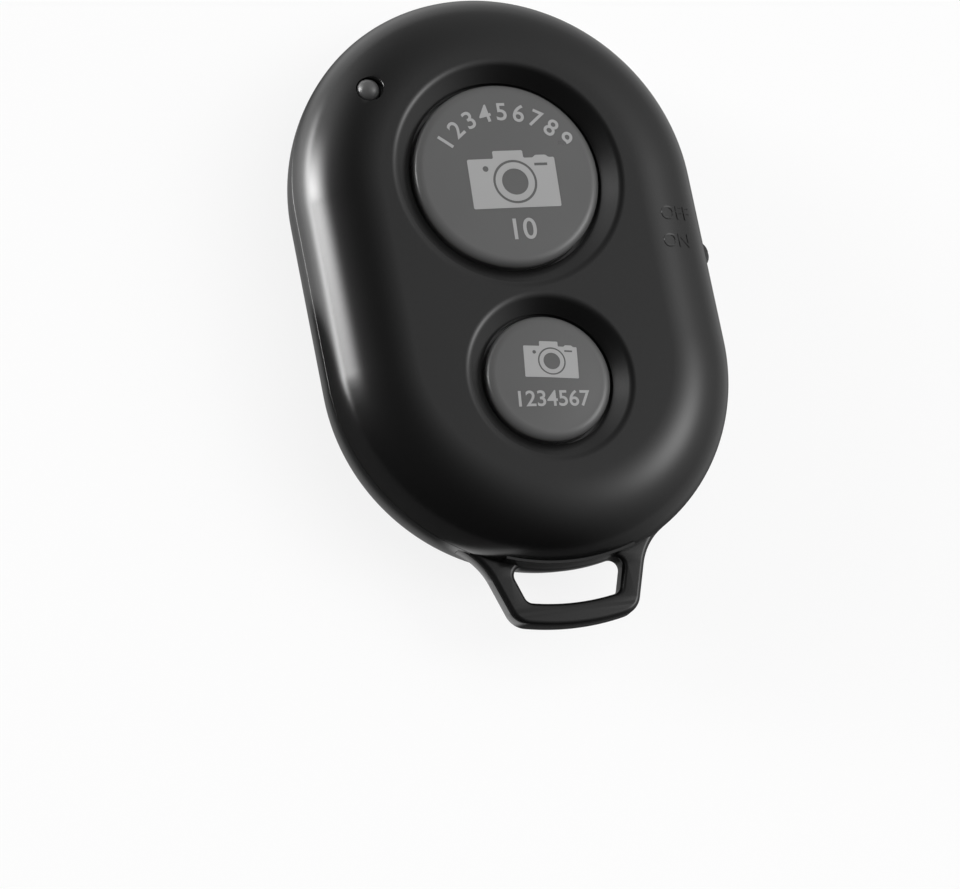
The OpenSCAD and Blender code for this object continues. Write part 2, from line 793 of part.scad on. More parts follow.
module memory_chip() {
    color(chip_color) translate([memory_x, radio_y, board_top]) block(memory_w, memory_l, memory_h);
}

module memory_chip_leads() {
    color(metal_color)
        for (side = [-1, 1], i = [0 : memory_leads - 1])
            translate([
                memory_x + memory_w * ((i + 1 / 2) / memory_leads - 1 / 2),
                radio_y + side * (memory_l + lead_l) / 2,
                board_top
            ])
                block(lead_w, lead_l, pin_t);
}

module crystal() {
    color(metal_color)
        translate([-crystal_x, radio_y, board_top])
            linear_extrude(height = crystal_h)
                polygon(rounded(crystal_w, crystal_l, crystal_w / 5));
}

// A row of small parts along Y
module bit_row(x, y, h) {
    for (i = [0 : bit_count - 1])
        translate([x, y + (i - (bit_count - 1) / 2) * bit_pitch, board_top]) block(bit_w, bit_l, h);
}

module capacitors() {
    color("#b79a72") {
        bit_row(-(radio_w + bit_w) / 2 - bit_gap, radio_y, capacitor_h);
        rotate([0, 0, 90])
            bit_row(small_y - push_w / 2 - bit_gap - bit_w / 2, 0, capacitor_h);
    }
}

module resistors() {
    color(chip_color) {
        bit_row((radio_w + bit_w) / 2 + bit_gap, radio_y, resistor_h);
        translate([pipe_at[0] + lamp_l / 2 + bit_gap + bit_w, pipe_at[1], board_top])
            block(bit_w, bit_l, resistor_h);
    }
}

module indicator_lamp() {
    color("#e8e6da") translate([pipe_at[0], pipe_at[1], board_top]) block(lamp_l, lamp_w, lamp_h);
}

// Parts of a push switch, each in the switch's own frame on the board
module push_base() {
    color(chip_color)
        difference() {
            block(push_w, push_w, push_base_h);
            translate([0, 0, push_floor_t])
                cylinder(r = push_pocket_r, h = push_base_h, $fn = round_fn);
        }
}

module push_cover() {
    color(metal_color)
        difference() {
            union() {
                translate([0, 0, push_base_h]) block(push_w, push_w, push_cover_t);
                for (side = [-1, 1])
                    translate([0, side * (push_w + push_cover_t) / 2, push_floor_t])
                        block(push_w / 3, push_cover_t, push_base_h + push_cover_t - push_floor_t);
            }
            cylinder(r = plunger_r + plunger_gap, h = push_base_h + 2 * overrun, $fn = round_fn);
        }
}

// Shallow dome of spring sheet from the pocket's floor up to the plunger's foot
module push_dome() {
    dome_w = push_pocket_r - plunger_gap;
    dome_h = plunger_foot_z - board_top - push_floor_t - dome_t;
    ball_r = (dome_w * dome_w + dome_h * dome_h) / (2 * dome_h);
    edge_a = asin(dome_w / ball_r);
    ball_c = [0, push_floor_t + dome_h - ball_r];
    color(metal_color)
        rotate_extrude($fn = round_fn)
            polygon(concat(
                arc(ball_c, ball_r, 90 - edge_a, 90, arc_steps),
                arc(ball_c, ball_r + dome_t, 90, 90 - edge_a, arc_steps)
            ));
}

module push_plunger() {
    color("#2a2b2d") {
        translate([0, 0, plunger_foot_z - board_top])
            cylinder(r = plunger_r, h = plunger_top - plunger_foot_z, $fn = round_fn);
        translate([0, 0, plunger_foot_z - board_top])
            cylinder(r = plunger_r + plunger_foot_w, h = plunger_foot_h, $fn = round_fn);
    }
}

module push_terminals() {
    color(metal_color)
        for (sx = [-1, 1], sy = [-1, 1])
            translate([sx * (push_w + push_pin_l) / 2, sy * (push_w / 2 - push_pin_w), 0])
                block(push_pin_l, push_pin_w, pin_t);
}

module large_switch_base() {
    translate([0, large_y, board_top]) push_base();
}
module large_switch_cover() {
    translate([0, large_y, board_top]) push_cover();
}
module large_switch_dome() {
    translate([0, large_y, board_top]) push_dome();
}
module large_switch_plunger() {
    translate([0, large_y, board_top]) push_plunger();
}
module large_switch_terminals() {
    translate([0, large_y, board_top]) push_terminals();
}
module small_switch_base() {
    translate([0, small_y, board_top]) push_base();
}
module small_switch_cover() {
    translate([0, small_y, board_top]) push_cover();
}
module small_switch_dome() {
    translate([0, small_y, board_top]) push_dome();
}
module small_switch_plunger() {
    translate([0, small_y, board_top]) push_plunger();
}
module small_switch_terminals() {
    translate([0, small_y, board_top]) push_terminals();
}

// Height of the knob's neck between the base and the case's roof
neck_z = board_top + slide_base_h + wiper_t + slide_gap / 2;
neck_h = board_top + slide_case_h - slide_sheet_t - slide_gap - neck_z;

// Folded sheet case, open below, with a window for the knob's neck
module slide_switch_case() {
    window_l = neck_l + slide_travel + 2 * slide_gap;
    color(metal_color)
        difference() {
            translate([slide_back_x, slide_y - slide_case_l / 2, board_top])
                cube([slide_case_w, slide_case_l, slide_case_h]);
            translate([
                slide_back_x + slide_sheet_t,
                slide_y - slide_case_l / 2 + slide_sheet_t,
                board_top - overrun
            ])
                cube([
                    slide_case_w - 2 * slide_sheet_t,
                    slide_case_l - 2 * slide_sheet_t,
                    slide_case_h - slide_sheet_t + overrun
                ]);
            translate([slide_x - overrun, slide_y - window_l / 2, neck_z - slide_gap])
                cube([2 * overrun, window_l, neck_h + 2 * slide_gap - slide_gap / 2]);
        }
}

module slide_switch_base() {
    color(chip_color)
        translate([
            slide_back_x + slide_sheet_t,
            slide_y - slide_case_l / 2 + slide_sheet_t,
            board_top
        ])
            cube([
                slide_case_w - 2 * slide_sheet_t,
                slide_case_l - 2 * slide_sheet_t,
                slide_base_h
            ]);
}

// Three pins behind the case and a foot at each of its corners
module slide_switch_terminals() {
    pin_w = slide_case_w / 6;
    color(metal_color) {
        for (i = [-1, 0, 1])
            translate([slide_back_x - push_pin_w / 2, slide_y + i * slide_case_l / 4, board_top])
                block(push_pin_w, pin_w, pin_t);
        for (sx = [1 / 5, 4 / 5], sy = [-1, 1])
            translate([
                slide_back_x + slide_case_w * sx,
                slide_y + sy * (slide_case_l + pin_w) / 2,
                board_top
            ])
                block(pin_w, pin_w, pin_t);
    }
}

// The knob at its lower stop: slider inside the case, neck through the window, ribbed nub outside
module slide_switch_knob() {
    slider_x = slide_back_x + slide_sheet_t + slide_gap;
    nub_x = inner_r - lip_gap;
    nub_end = body_r + nub_reach;
    groove_w = nub_l / 7;
    color(chip_color)
        difference() {
            union() {
                translate([slider_x, knob_y - nub_l / 2, neck_z])
                    cube([slide_x - slide_sheet_t - slide_gap - slider_x, nub_l, neck_h]);
                translate([slide_x - slide_sheet_t - 2 * slide_gap, knob_y - neck_l / 2, neck_z])
                    cube([nub_x - slide_x + 2 * overrun, neck_l, neck_h]);
                translate([nub_x, knob_y - nub_l / 2, nub_z - nub_h / 2])
                    cube([nub_end - nub_x, nub_l, nub_h]);
            }
            for (i = [-1, 0, 1])
                translate([nub_end, knob_y + i * nub_l / 3.5, nub_z])
                    cylinder(r = groove_w / 2, h = 2 * nub_h, center = true, $fn = round_fn);
        }
}

module slide_switch_wiper() {
    slider_x = slide_back_x + slide_sheet_t + slide_gap;
    color(copper_color)
        translate([slider_x, knob_y - nub_l / 2, neck_z - wiper_t])
            cube([slide_x - slide_sheet_t - slide_gap - slider_x, nub_l, wiper_t]);
}

// The coin cell stands on the door with its cap towards the board
module cell_can() {
    color(metal_color)
        translate([0, cell_y, cell_z])
            rotate_extrude($fn = round_fn)
                polygon([
                    [0, 0],
                    [cell_r, 0],
                    [cell_r, can_h],
                    [cell_r - crimp_w, can_h],
                    [cell_r - crimp_w, can_h - cell_sheet_t],
                    [cell_r - cell_sheet_t, can_h - cell_sheet_t],
                    [cell_r - cell_sheet_t, cell_sheet_t],
                    [0, cell_sheet_t]
                ]);
}

module cell_gasket() {
    color("#d9d9d2")
        translate([0, cell_y, cell_z + cell_sheet_t])
            difference() {
                cylinder(
                    r = cell_r - cell_sheet_t - cell_part_gap,
                    h = can_h - 2 * cell_sheet_t - cell_part_gap,
                    $fn = round_fn
                );
                translate([0, 0, -overrun])
                    cylinder(r = cell_r - cap_inset + cell_part_gap, h = cell_t, $fn = round_fn);
            }
}

module cell_cap() {
    cap_r = cell_r - cap_inset;
    color(metal_color)
        translate([0, cell_y, cell_z])
            rotate_extrude($fn = round_fn)
                polygon([
                    [0, cell_t],
                    [cap_r, cell_t],
                    [cap_r, cap_foot_h],
                    [cap_r - cell_sheet_t, cap_foot_h],
                    [cap_r - cell_sheet_t, cell_t - cell_sheet_t],
                    [0, cell_t - cell_sheet_t]
                ]);
}

module cell_core() {
    color("#4a4b4d")
        translate([0, cell_y, cell_z + cell_sheet_t])
            cylinder(
                r = cell_r - cap_inset - cell_sheet_t - cell_part_gap,
                h = cell_t - 2 * cell_sheet_t - cell_part_gap,
                $fn = round_fn
            );
}

// Spring strip under the board that presses on the cell's side
module side_contact() {
    color(metal_color)
        translate([-cell_r, cell_y - spring_w / 2, 0]) {
            translate([-spring_t, 0, side_leg_z]) cube([spring_t, spring_w, board_z - side_leg_z]);
            translate([-spring_foot_l, 0, board_z - spring_t])
                cube([spring_foot_l, spring_w, spring_t]);
        }
}

// Leaf spring under the board whose finger bends down to the cell's cap
module top_contact() {
    drop = board_z - spring_t - cell_top;
    tip_l = finger_l / 5;
    color(metal_color)
        translate([-spring_w / 2, cell_y, 0])
            rotate([90, 0, 90])
                linear_extrude(height = spring_w)
                    polygon([
                        [-spring_foot_l, board_z],
                        [-spring_foot_l, board_z - spring_t],
                        [0, board_z - spring_t],
                        [finger_l - tip_l, board_z - spring_t - drop],
                        [finger_l, board_z - spring_t - drop],
                        [finger_l, board_z - drop],
                        [finger_l - tip_l, board_z - drop],
                        [0, board_z]
                    ]);
}

// Two screws from the battery bay through the board into the front shell
module case_screws() {
    color("#8d8f92")
        for (side = [-1, 1])
            translate([side * screw_x, screw_y, seat_z])
                difference() {
                    union() {
                        translate([0, 0, -head_h]) cylinder(r = head_r, h = head_h, $fn = round_fn);
                        cylinder(r = thread_r, h = thread_l, $fn = round_fn);
                    }
                    for (turn = [0, 90])
                        rotate([0, 0, turn])
                            translate([0, 0, -head_h - overrun])
                                block(cross_l, cross_w, cross_depth + overrun);
                }
}

front_shell();
rear_shell();
battery_door();
large_button();
small_button();
light_pipe();
circuit_board();
antenna_trace();
radio_chip();
memory_chip();
memory_chip_leads();
crystal();
capacitors();
resistors();
indicator_lamp();
large_switch_base();
large_switch_cover();
large_switch_dome();
large_switch_plunger();
large_switch_terminals();
small_switch_base();
small_switch_cover();
small_switch_dome();
small_switch_plunger();
small_switch_terminals();
slide_switch_case();
slide_switch_base();
slide_switch_terminals();
slide_switch_knob();
slide_switch_wiper();
cell_can();
cell_gasket();
cell_cap();
cell_core();
side_contact();
top_contact();
case_screws();
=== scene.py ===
# %% [markdown]
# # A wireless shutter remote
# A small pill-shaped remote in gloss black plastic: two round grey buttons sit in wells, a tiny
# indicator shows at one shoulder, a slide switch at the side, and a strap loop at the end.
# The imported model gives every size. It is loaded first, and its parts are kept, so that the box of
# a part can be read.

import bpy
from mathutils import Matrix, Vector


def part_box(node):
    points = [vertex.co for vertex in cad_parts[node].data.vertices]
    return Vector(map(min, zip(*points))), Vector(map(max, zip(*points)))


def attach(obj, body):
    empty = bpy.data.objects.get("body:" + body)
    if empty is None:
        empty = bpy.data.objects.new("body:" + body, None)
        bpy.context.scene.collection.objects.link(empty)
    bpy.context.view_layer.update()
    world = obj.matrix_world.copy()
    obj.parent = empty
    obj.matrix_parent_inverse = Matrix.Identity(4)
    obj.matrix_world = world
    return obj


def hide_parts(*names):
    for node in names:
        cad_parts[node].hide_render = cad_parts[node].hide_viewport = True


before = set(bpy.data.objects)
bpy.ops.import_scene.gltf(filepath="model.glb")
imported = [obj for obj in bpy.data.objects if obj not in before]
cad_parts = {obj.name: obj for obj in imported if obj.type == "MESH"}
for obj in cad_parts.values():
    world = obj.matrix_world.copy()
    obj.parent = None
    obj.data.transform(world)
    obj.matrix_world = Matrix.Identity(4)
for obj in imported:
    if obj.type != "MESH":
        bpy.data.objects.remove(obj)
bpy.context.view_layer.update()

# %% [markdown]
# Every size below is in millimetres, as a maker would read it off a drawing, and is turned into
# metres only when a mesh is made.

# %% Millimetres and the modules
from math import asin, atan2, cos, degrees, hypot, pi, radians, sin, tan

import bmesh
import bpy
from mathutils import Matrix, Vector

MM = 0.001
scene = bpy.context.scene
print("Blender", bpy.app.version_string)

# %% [markdown]
# ## The camera
# The photograph was taken from the lower left, about 26 degrees off the face's normal. The camera was
# solved from the outline of the case, the button faces and the rims of their wells, so its place and
# its three axes are known. A long lens from 39 cm away gives the photograph's slight perspective.

# %% Place the camera
CAMERA_AT = (-132.14, -108.86, 348.70)
CAMERA_RIGHT = (0.93647, -0.19105, 0.29413)
CAMERA_UP = (0.09819, 0.94790, 0.30305)
CAMERA_BACK = (-0.33670, -0.25491, 0.90644)
SENSOR_W, FOCAL_LENGTH = 36, 187.5

camera = bpy.data.objects.new("camera", bpy.data.cameras.new("camera"))
scene.collection.objects.link(camera)
camera.data.sensor_width, camera.data.lens = SENSOR_W, FOCAL_LENGTH
camera.data.clip_start, camera.data.clip_end = 10 * MM, 20000 * MM
axes = Matrix((CAMERA_RIGHT, CAMERA_UP, CAMERA_BACK)).transposed().to_4x4()
camera.matrix_world = Matrix.Translation(Vector(CAMERA_AT) * MM) @ axes
scene.camera = camera
scene.view_settings.view_transform = "Standard"
print("camera distance in mm:", round(Vector(CAMERA_AT).length))

# %% [markdown]
# ## Node trees as Python expressions
# Materials and Geometry Nodes are both networks of small nodes. Placing each one by hand is long
# and hard to read. A socket that is wrapped in a class with Python's operators lets a line such as
# `0.2 + grain * 0.05` add its own Math nodes, and one method makes every other node.

# %% A socket that does arithmetic, and one way to add a node
class Wire:
    """A node's output. Arithmetic on it adds Math nodes to its tree."""

    def __init__(self, net, socket):
        self.net, self.socket = net, socket

    def __getitem__(self, name):
        return Wire(self.net, self.socket.node.outputs[name])

    def math(self, operation, *others):
        return self.net.math(operation, self, *others)

    def __add__(self, other):
        return self.math("ADD", other)

    def __sub__(self, other):
        return self.math("SUBTRACT", other)

    def __mul__(self, other):
        return self.math("MULTIPLY", other)

    def __truediv__(self, other):
        return self.math("DIVIDE", other)

    def __pow__(self, other):
        return self.math("POWER", other)

    def __gt__(self, other):
        return self.math("GREATER_THAN", other)

    def __rsub__(self, other):
        return self.net.math("SUBTRACT", other, self)

    __radd__ = __add__


class Net:
    """A node tree, of a material, a world or Geometry Nodes."""

    def __init__(self, tree):
        self.tree = tree

    def node(self, kind, settings=None, values=None):
        """Adds a node: its settings first, then numbers or wires for its sockets."""
        made = self.tree.nodes.new(kind)
        for name, value in (settings or {}).items():
            setattr(made, name, value)
        for name, value in (values or {}).items():
            if isinstance(value, Wire):
                self.tree.links.new(value.socket, made.inputs[name])
            else:
                made.inputs[name].default_value = value
        shown = [s for s in made.outputs if s.enabled]
        return Wire(self, shown[0]) if shown else None

    def math(self, operation, *values):
        return self.node("ShaderNodeMath", {"operation": operation}, dict(enumerate(values)))

    def vector(self, operation, *values):
        return self.node("ShaderNodeVectorMath", {"operation": operation}, dict(enumerate(values)))

    def mix(self, share, a, b):
        """A colour between a and b."""
        return self.node("ShaderNodeMix", {"data_type": "RGBA"}, {0: share, 6: a, 7: b})

    def ramp(self, value, low, high, out_low=0.0, out_high=1.0):
        """Moves a value smoothly from out_low to out_high as it goes from low to high."""
        return self.node(
            "ShaderNodeMapRange", {"interpolation_type": "SMOOTHSTEP"},
            {0: value, 1: low, 2: high, 3: out_low, 4: out_high},
        )


print("sockets can add, subtract, multiply, divide and compare")

# %% [markdown]
# ## Finishes
# All of the object is moulded plastic, sheet metal, solder and epoxy. Each finish is one function
# call: a colour, a roughness with a slow drift in it, and a fine bump. The patterns read Object
# coordinates, so they have their real scale and stay put when a piece moves.

# %% Start a material, and read the place on the piece
def grey(level, warmth=0.0):
    return (level * (1 + warmth), level, level * (1 - warmth), 1)


def toned(colour, share):
    """A colour made darker or lighter by a share."""
    return [min(1, c * share) for c in colour[:3]] + [1]


def new_material(name):
    material = bpy.data.materials.new(name)
    material.use_nodes = True
    material.node_tree.nodes.clear()
    return material, Net(material.node_tree)


def place(net):
    """The point on the piece, in millimetres."""
    point = net.node("ShaderNodeTexCoord")["Object"]
    return net.vector("MULTIPLY", point, (1000, 1000, 1000))


def noise(net, point, per_mm, detail=2.0, roughness=0.5):
    return net.node(
        "ShaderNodeTexNoise", None,
        {"Vector": point, "Scale": per_mm, "Detail": detail, "Roughness": roughness},
    )


def surface(net, values, height, depth):
    """A Principled surface. Height, from 0 to 1, makes a bump as deep as depth in millimetres."""
    bump = net.node("ShaderNodeBump", None, {"Height": height, "Distance": depth * MM, "Strength": 1.0})
    shader = net.node("ShaderNodeBsdfPrincipled", None, dict(values, Normal=bump))
    net.node("ShaderNodeOutputMaterial", None, {"Surface": shader})


# %% Moulded plastics
DRIFT_PER_MM, TONE_DRIFT = 0.12, 0.08


def moulded(name, colour, rough, grain_per_mm, grain_depth, drift):
    """Moulded plastic: a slow drift in its tone and gloss, and a faint waviness or grain."""
    material, net = new_material(name)
    point = place(net)
    slow = noise(net, point, DRIFT_PER_MM, 3)
    fine = noise(net, point, grain_per_mm, 3)
    tone = net.mix(slow, toned(colour, 1 - TONE_DRIFT), toned(colour, 1 + TONE_DRIFT))
    surface(net, {"Base Color": tone, "Roughness": rough + (slow - 0.5) * drift * 2}, fine, grain_depth)
    return material


SHELL = moulded("gloss_black_plastic", grey(0.006), 0.22, 0.7, 0.0008, 0.02)
BUTTON = moulded("satin_grey_plastic", grey(0.091), 0.24, 9, 0.0006, 0.03)
PRINT = moulded("light_grey_print", grey(0.325), 0.45, 6, 0.001, 0.03)
PIPE = moulded("smoky_light_pipe", grey(0.07), 0.32, 1.5, 0.001, 0.02)
KNOB = moulded("matt_black_plastic", grey(0.012), 0.42, 14, 0.004, 0.04)
print("plastics:", SHELL.name, BUTTON.name, PRINT.name, PIPE.name, KNOB.name)

# %% Metals, board and chips
def metal(name, colour, rough, centre=None, stretch=(1, 1, 1)):
    """Metal with fine marks: rings about a centre, or lines along one direction."""
    material, net = new_material(name)
    point = place(net)
    if centre:
        flat = net.vector("MULTIPLY", net.vector("SUBTRACT", point, centre), (1, 1, 0))
        far = net.vector("LENGTH", flat)["Value"]
        lines = net.node("ShaderNodeTexNoise", {"noise_dimensions": "1D"},
                         {"W": far, "Scale": 14.0, "Detail": 4.0})
    else:
        lines = noise(net, net.vector("MULTIPLY", point, stretch), 3.0, 4)
    stain = noise(net, point, 0.35, 4, 0.6)
    tone = net.mix(stain, toned(colour, 0.8), colour)
    surface(
        net, {"Base Color": tone, "Metallic": 1.0, "Roughness": rough + (lines - 0.5) * 0.2},
        height=lines, depth=0.003,
    )
    return material


def board_finish():
    """Green lacquer over copper: the tracks show through as a lighter, raised pattern."""
    material, net = new_material("green_lacquered_board")
    point = place(net)
    weave = noise(net, point, 4, 2)
    cells = net.node("ShaderNodeTexVoronoi", {"feature": "DISTANCE_TO_EDGE"},
                     {"Vector": net.vector("MULTIPLY", point, (1, 1, 0)), "Scale": 0.45})
    track = net.ramp(cells, 0.05, 0.09, 1, 0)
    tone = net.mix(track, (0.008, 0.075, 0.03, 1), (0.02, 0.16, 0.06, 1))
    surface(
        net, {"Base Color": tone, "Roughness": 0.3 + weave * 0.12},
        height=track * 0.8 + weave * 0.2, depth=0.02,
    )
    return material


CELL_Y = 3.6
STEEL = metal("spring_steel", grey(0.62), 0.3, stretch=(1, 8, 8))
TIN = metal("dull_tin", grey(0.66), 0.36, stretch=(2, 2, 2))
CELL = metal("turned_steel", grey(0.64), 0.26, centre=(0, CELL_Y, 0))
SCREW = metal("zinc_screw", grey(0.5, 0.02), 0.34, stretch=(3, 3, 3))
COPPER = metal("copper", (0.75, 0.33, 0.16, 1), 0.34)
CHIP = moulded("black_epoxy", grey(0.018), 0.5, 12, 0.006, 0.06)
CERAMIC = moulded("tan_ceramic", (0.42, 0.27, 0.15, 1), 0.45, 8, 0.003, 0.04)
LAMP = moulded("cream_resin", (0.72, 0.68, 0.55, 1), 0.3, 6, 0.002, 0.03)
GASKET = moulded("pale_nylon", (0.62, 0.62, 0.56, 1), 0.4, 5, 0.002, 0.03)
CORE = moulded("dark_electrode", grey(0.06), 0.7, 10, 0.01, 0.06)
BOARD = board_finish()
print("materials so far:", len(bpy.data.materials))

# %% [markdown]
# ## The sweep
# The shells, buttons, wells, light pipe and cell all follow one rule: a half section swept round a
# pill, which is a circle where the straight run is zero. One Geometry Nodes tree does it. It reads
# the points of the section from its input, lays a grid with one row for each of them, and bends the
# grid round. Changing the number of facets then changes every part alike.

# %% The tree that sweeps a half section round a pill
def sweep_tree():
    tree = bpy.data.node_groups.new("sweep_round_pill", "GeometryNodeTree")
    for name, kind in (
        ("Geometry", "NodeSocketGeometry"), ("Half run", "NodeSocketFloat"),
        ("Facets per half turn", "NodeSocketInt"), ("Material", "NodeSocketMaterial"),
    ):
        tree.interface.new_socket(name, in_out="INPUT", socket_type=kind)
    tree.interface.new_socket("Geometry", in_out="OUTPUT", socket_type="NodeSocketGeometry")
    net = Net(tree)
    given = net.node("NodeGroupInput")
    section, run, facets = given["Geometry"], given["Half run"], given["Facets per half turn"]
    rows = net.node("GeometryNodeAttributeDomainSize", None, {0: section})["Point Count"]
    stations = facets * 2 + 3
    grid = net.node("GeometryNodeMeshGrid", None, {"Vertices X": rows, "Vertices Y": stations})
    index = net.node("GeometryNodeInputIndex")
    row = ((index + 0.5) / stations).math("FLOOR")
    station = (index - row * stations).math("MODULO", facets * 2 + 2)
    second = station > facets + 0.5
    angle = (station - second) * pi / facets
    point = net.node(
        "GeometryNodeSampleIndex", {"data_type": "FLOAT_VECTOR", "domain": "POINT"},
        {0: section, 1: net.node("GeometryNodeInputPosition"), 2: row},
    )
    parts = net.node("ShaderNodeSeparateXYZ", None, {0: point})
    x = parts["X"] * angle.math("COSINE")
    y = parts["X"] * angle.math("SINE") + run * (1 - second * 2)
    spot = net.node("ShaderNodeCombineXYZ", None, {"X": x, "Y": y, "Z": parts["Z"]})
    bent = net.node("GeometryNodeSetPosition", None, {"Geometry": grid, "Position": spot})
    merged = net.node("GeometryNodeMergeByDistance", None, {"Geometry": bent, "Distance": 1e-6})
    real = net.node("GeometryNodeRealizeInstances", None, {"Geometry": merged})
    done = net.node("GeometryNodeSetMaterial", None, {"Geometry": real, "Material": given["Material"]})
    net.node("NodeGroupOutput", None, {"Geometry": done})
    return tree


SWEEP = sweep_tree()
print("sweep tree:", len(SWEEP.nodes), "nodes")


# %% Use a tree, and keep only the mesh that it makes
def new_object(name, mesh):
    made = bpy.data.objects.new(name, mesh)
    scene.collection.objects.link(made)
    return made


def freeze(piece):
    """Replaces a piece's mesh by what its modifiers make of it, and removes them."""
    state = bpy.context.evaluated_depsgraph_get()
    mesh = bpy.data.meshes.new_from_object(piece.evaluated_get(state), depsgraph=state)
    piece.modifiers.clear()
    old, piece.data = piece.data, mesh
    mesh.name = piece.name
    bpy.data.meshes.remove(old)
    return piece


def run_tree(piece, tree, **inputs):
    """Runs a Geometry Nodes tree on a piece. Inputs go by name, with _ for a space."""
    modifier = piece.modifiers.new(tree.name, "NODES")
    modifier.node_group = tree
    for socket in tree.interface.items_tree:
        key = socket.name.replace(" ", "_")
        if socket.in_out == "INPUT" and key in inputs:
            modifier[socket.identifier] = inputs[key]
    return freeze(piece)


def outward(piece):
    """Makes the faces point outwards, after doubled points are merged."""
    mesh = bmesh.new()
    mesh.from_mesh(piece.data)
    bmesh.ops.remove_doubles(mesh, verts=mesh.verts, dist=1e-7)
    bmesh.ops.recalc_face_normals(mesh, faces=mesh.faces)
    mesh.to_mesh(piece.data)
    mesh.free()
    return piece


def swept(name, section, material=SHELL, run=0.0, facets=96, at=(0, 0, 0)):
    """A mesh swept from a half section of (distance from the middle, height) points."""
    mesh = bpy.data.meshes.new(name)
    ends = [(i, i + 1) for i in range(len(section) - 1)]
    mesh.from_pydata([(r * MM, 0, z * MM) for r, z in section], ends, [])
    made = run_tree(
        new_object(name, mesh), SWEEP,
        Half_run=run * MM, Facets_per_half_turn=facets, Material=material,
    )
    made.data.transform(Matrix.Translation(Vector(at) * MM))
    return outward(made)


def combine(piece, operation, *tools):
    """Joins tools to a piece, or cuts them out of it, and removes them."""
    for tool in tools:
        modifier = piece.modifiers.new("combine", "BOOLEAN")
        modifier.operation, modifier.solver, modifier.object = operation, "EXACT", tool
    freeze(piece)
    for tool in tools:
        bpy.data.objects.remove(tool)
    return piece


SHARP = radians(32)


def smooth(piece):
    """Shades a piece smooth but for its sharp edges, and lets large faces rule."""
    piece.data.shade_smooth()
    piece.data.set_sharp_from_angle(angle=SHARP)
    modifier = piece.modifiers.new("weigh", "WEIGHTED_NORMAL")
    modifier.keep_sharp, modifier.weight = True, 100
    return freeze(piece)


def report(piece):
    print(f"{piece.name}: {len(piece.data.polygons)} faces")
    return piece


# %% [markdown]
# ## The front shell
# The top is a flat pill face that rolls over into the side along a quarter of an ellipse, wider than it
# is high. Two wells are sunk in the face. The section is swept, and the wells, the hole of the light
# pipe and the slot of the switch are cut out of it.

# %% Sizes of the case
BODY_R, BODY_T, END_Y = 16.0, 11.0, 6.85
SEAM_Z, SEAM_BEVEL, WALL = 6.6, 0.04, 1.2
FRONT_ROUND, BACK_ROUND, FLOOR_T = 5.8, 4.0, 1.1
LIP_T, LIP_H, LIP_GAP = 0.55, 0.75, 0.05
INNER_R = BODY_R - WALL
LIP_R, LIP_Z = INNER_R + LIP_T, SEAM_Z + LIP_H
LARGE = {"d": 14.8, "y": 7.25, "face_z": 10.1, "rim_d": 18.7, "crown_z": 10.7, "dome_r": 180}
SMALL = {"d": 9.9, "y": -9.1, "face_z": 10.4, "rim_d": 13.6, "crown_z": 10.8, "dome_r": 45}
LEDGE_DROP, LEDGE_W, LEDGE_T, HOLE_GAP = 0.75, 0.0625, 0.75, 0.2
RIM_ROUND, STEEPEST, COLLAR_W = 1.0, radians(36), 0.1
OVERRUN = 0.5


def arc(cx, cy, r, start, end, steps):
    """Points of an arc, from one angle to another in degrees."""
    turns = [radians(start + (end - start) * i / steps) for i in range(steps + 1)]
    return [(cx + r * cos(t), cy + r * sin(t)) for t in turns]


def shoulder(r0, w, z_edge, z_crown, steps=36):
    """A quarter of an ellipse, from its crown to its edge."""
    turns = [pi / 2 * i / steps for i in range(steps + 1)]
    return [(r0 + w * sin(t), z_edge + (z_crown - z_edge) * cos(t)) for t in turns]


print("case:", 2 * BODY_R, "x", 2 * (BODY_R + END_Y), "x", BODY_T)


# %% Sweep the front shell and cut its wells
def well(button, steps=24):
    """The cut for a button: its hole, a narrow ledge, and a cone up to a rounded rim."""
    hole_r, rim_r = button["d"] / 2 + HOLE_GAP, button["rim_d"] / 2
    ledge_r, ledge_z = hole_r + LEDGE_W, button["face_z"] - LEDGE_DROP
    turns = [STEEPEST * (1 - i / steps) for i in range(steps + 1)]
    rim = [(rim_r - RIM_ROUND * sin(a), BODY_T - RIM_ROUND * (1 - cos(a))) for a in turns]
    cone_z = rim[0][1] - (rim[0][0] - ledge_r) * tan(STEEPEST)
    section = [
        (0, SEAM_Z), (hole_r, SEAM_Z), (hole_r, ledge_z), (ledge_r, ledge_z), (ledge_r, cone_z),
        *rim, (rim_r, BODY_T + OVERRUN), (0, BODY_T + OVERRUN),
    ]
    return swept("well", section, facets=128, at=(0, button["y"], 0))


def collar(button):
    """The thicker ring under a well."""
    foot_z, r = button["face_z"] - LEDGE_DROP - LEDGE_T, button["rim_d"] / 2 + COLLAR_W
    top_z = BODY_T - WALL / 2
    section = [(0, foot_z), (r, foot_z), (r, top_z), (0, top_z)]
    return swept("collar", section, facets=96, at=(0, button["y"], 0))


front_section = [
    (0, BODY_T),
    *shoulder(BODY_R - FRONT_ROUND, FRONT_ROUND, SEAM_Z + SEAM_BEVEL, BODY_T),
    (BODY_R - SEAM_BEVEL, SEAM_Z), (LIP_R + LIP_GAP, SEAM_Z), (LIP_R + LIP_GAP, LIP_Z + LIP_GAP),
    *reversed(shoulder(BODY_R - FRONT_ROUND, FRONT_ROUND - WALL, LIP_Z + LIP_GAP, BODY_T - WALL, 16)),
    (0, BODY_T - WALL),
]
front = swept("front_shell_skin", front_section, run=END_Y, facets=96)
combine(front, "UNION", collar(LARGE), collar(SMALL))
combine(front, "DIFFERENCE", well(LARGE), well(SMALL))
report(front)

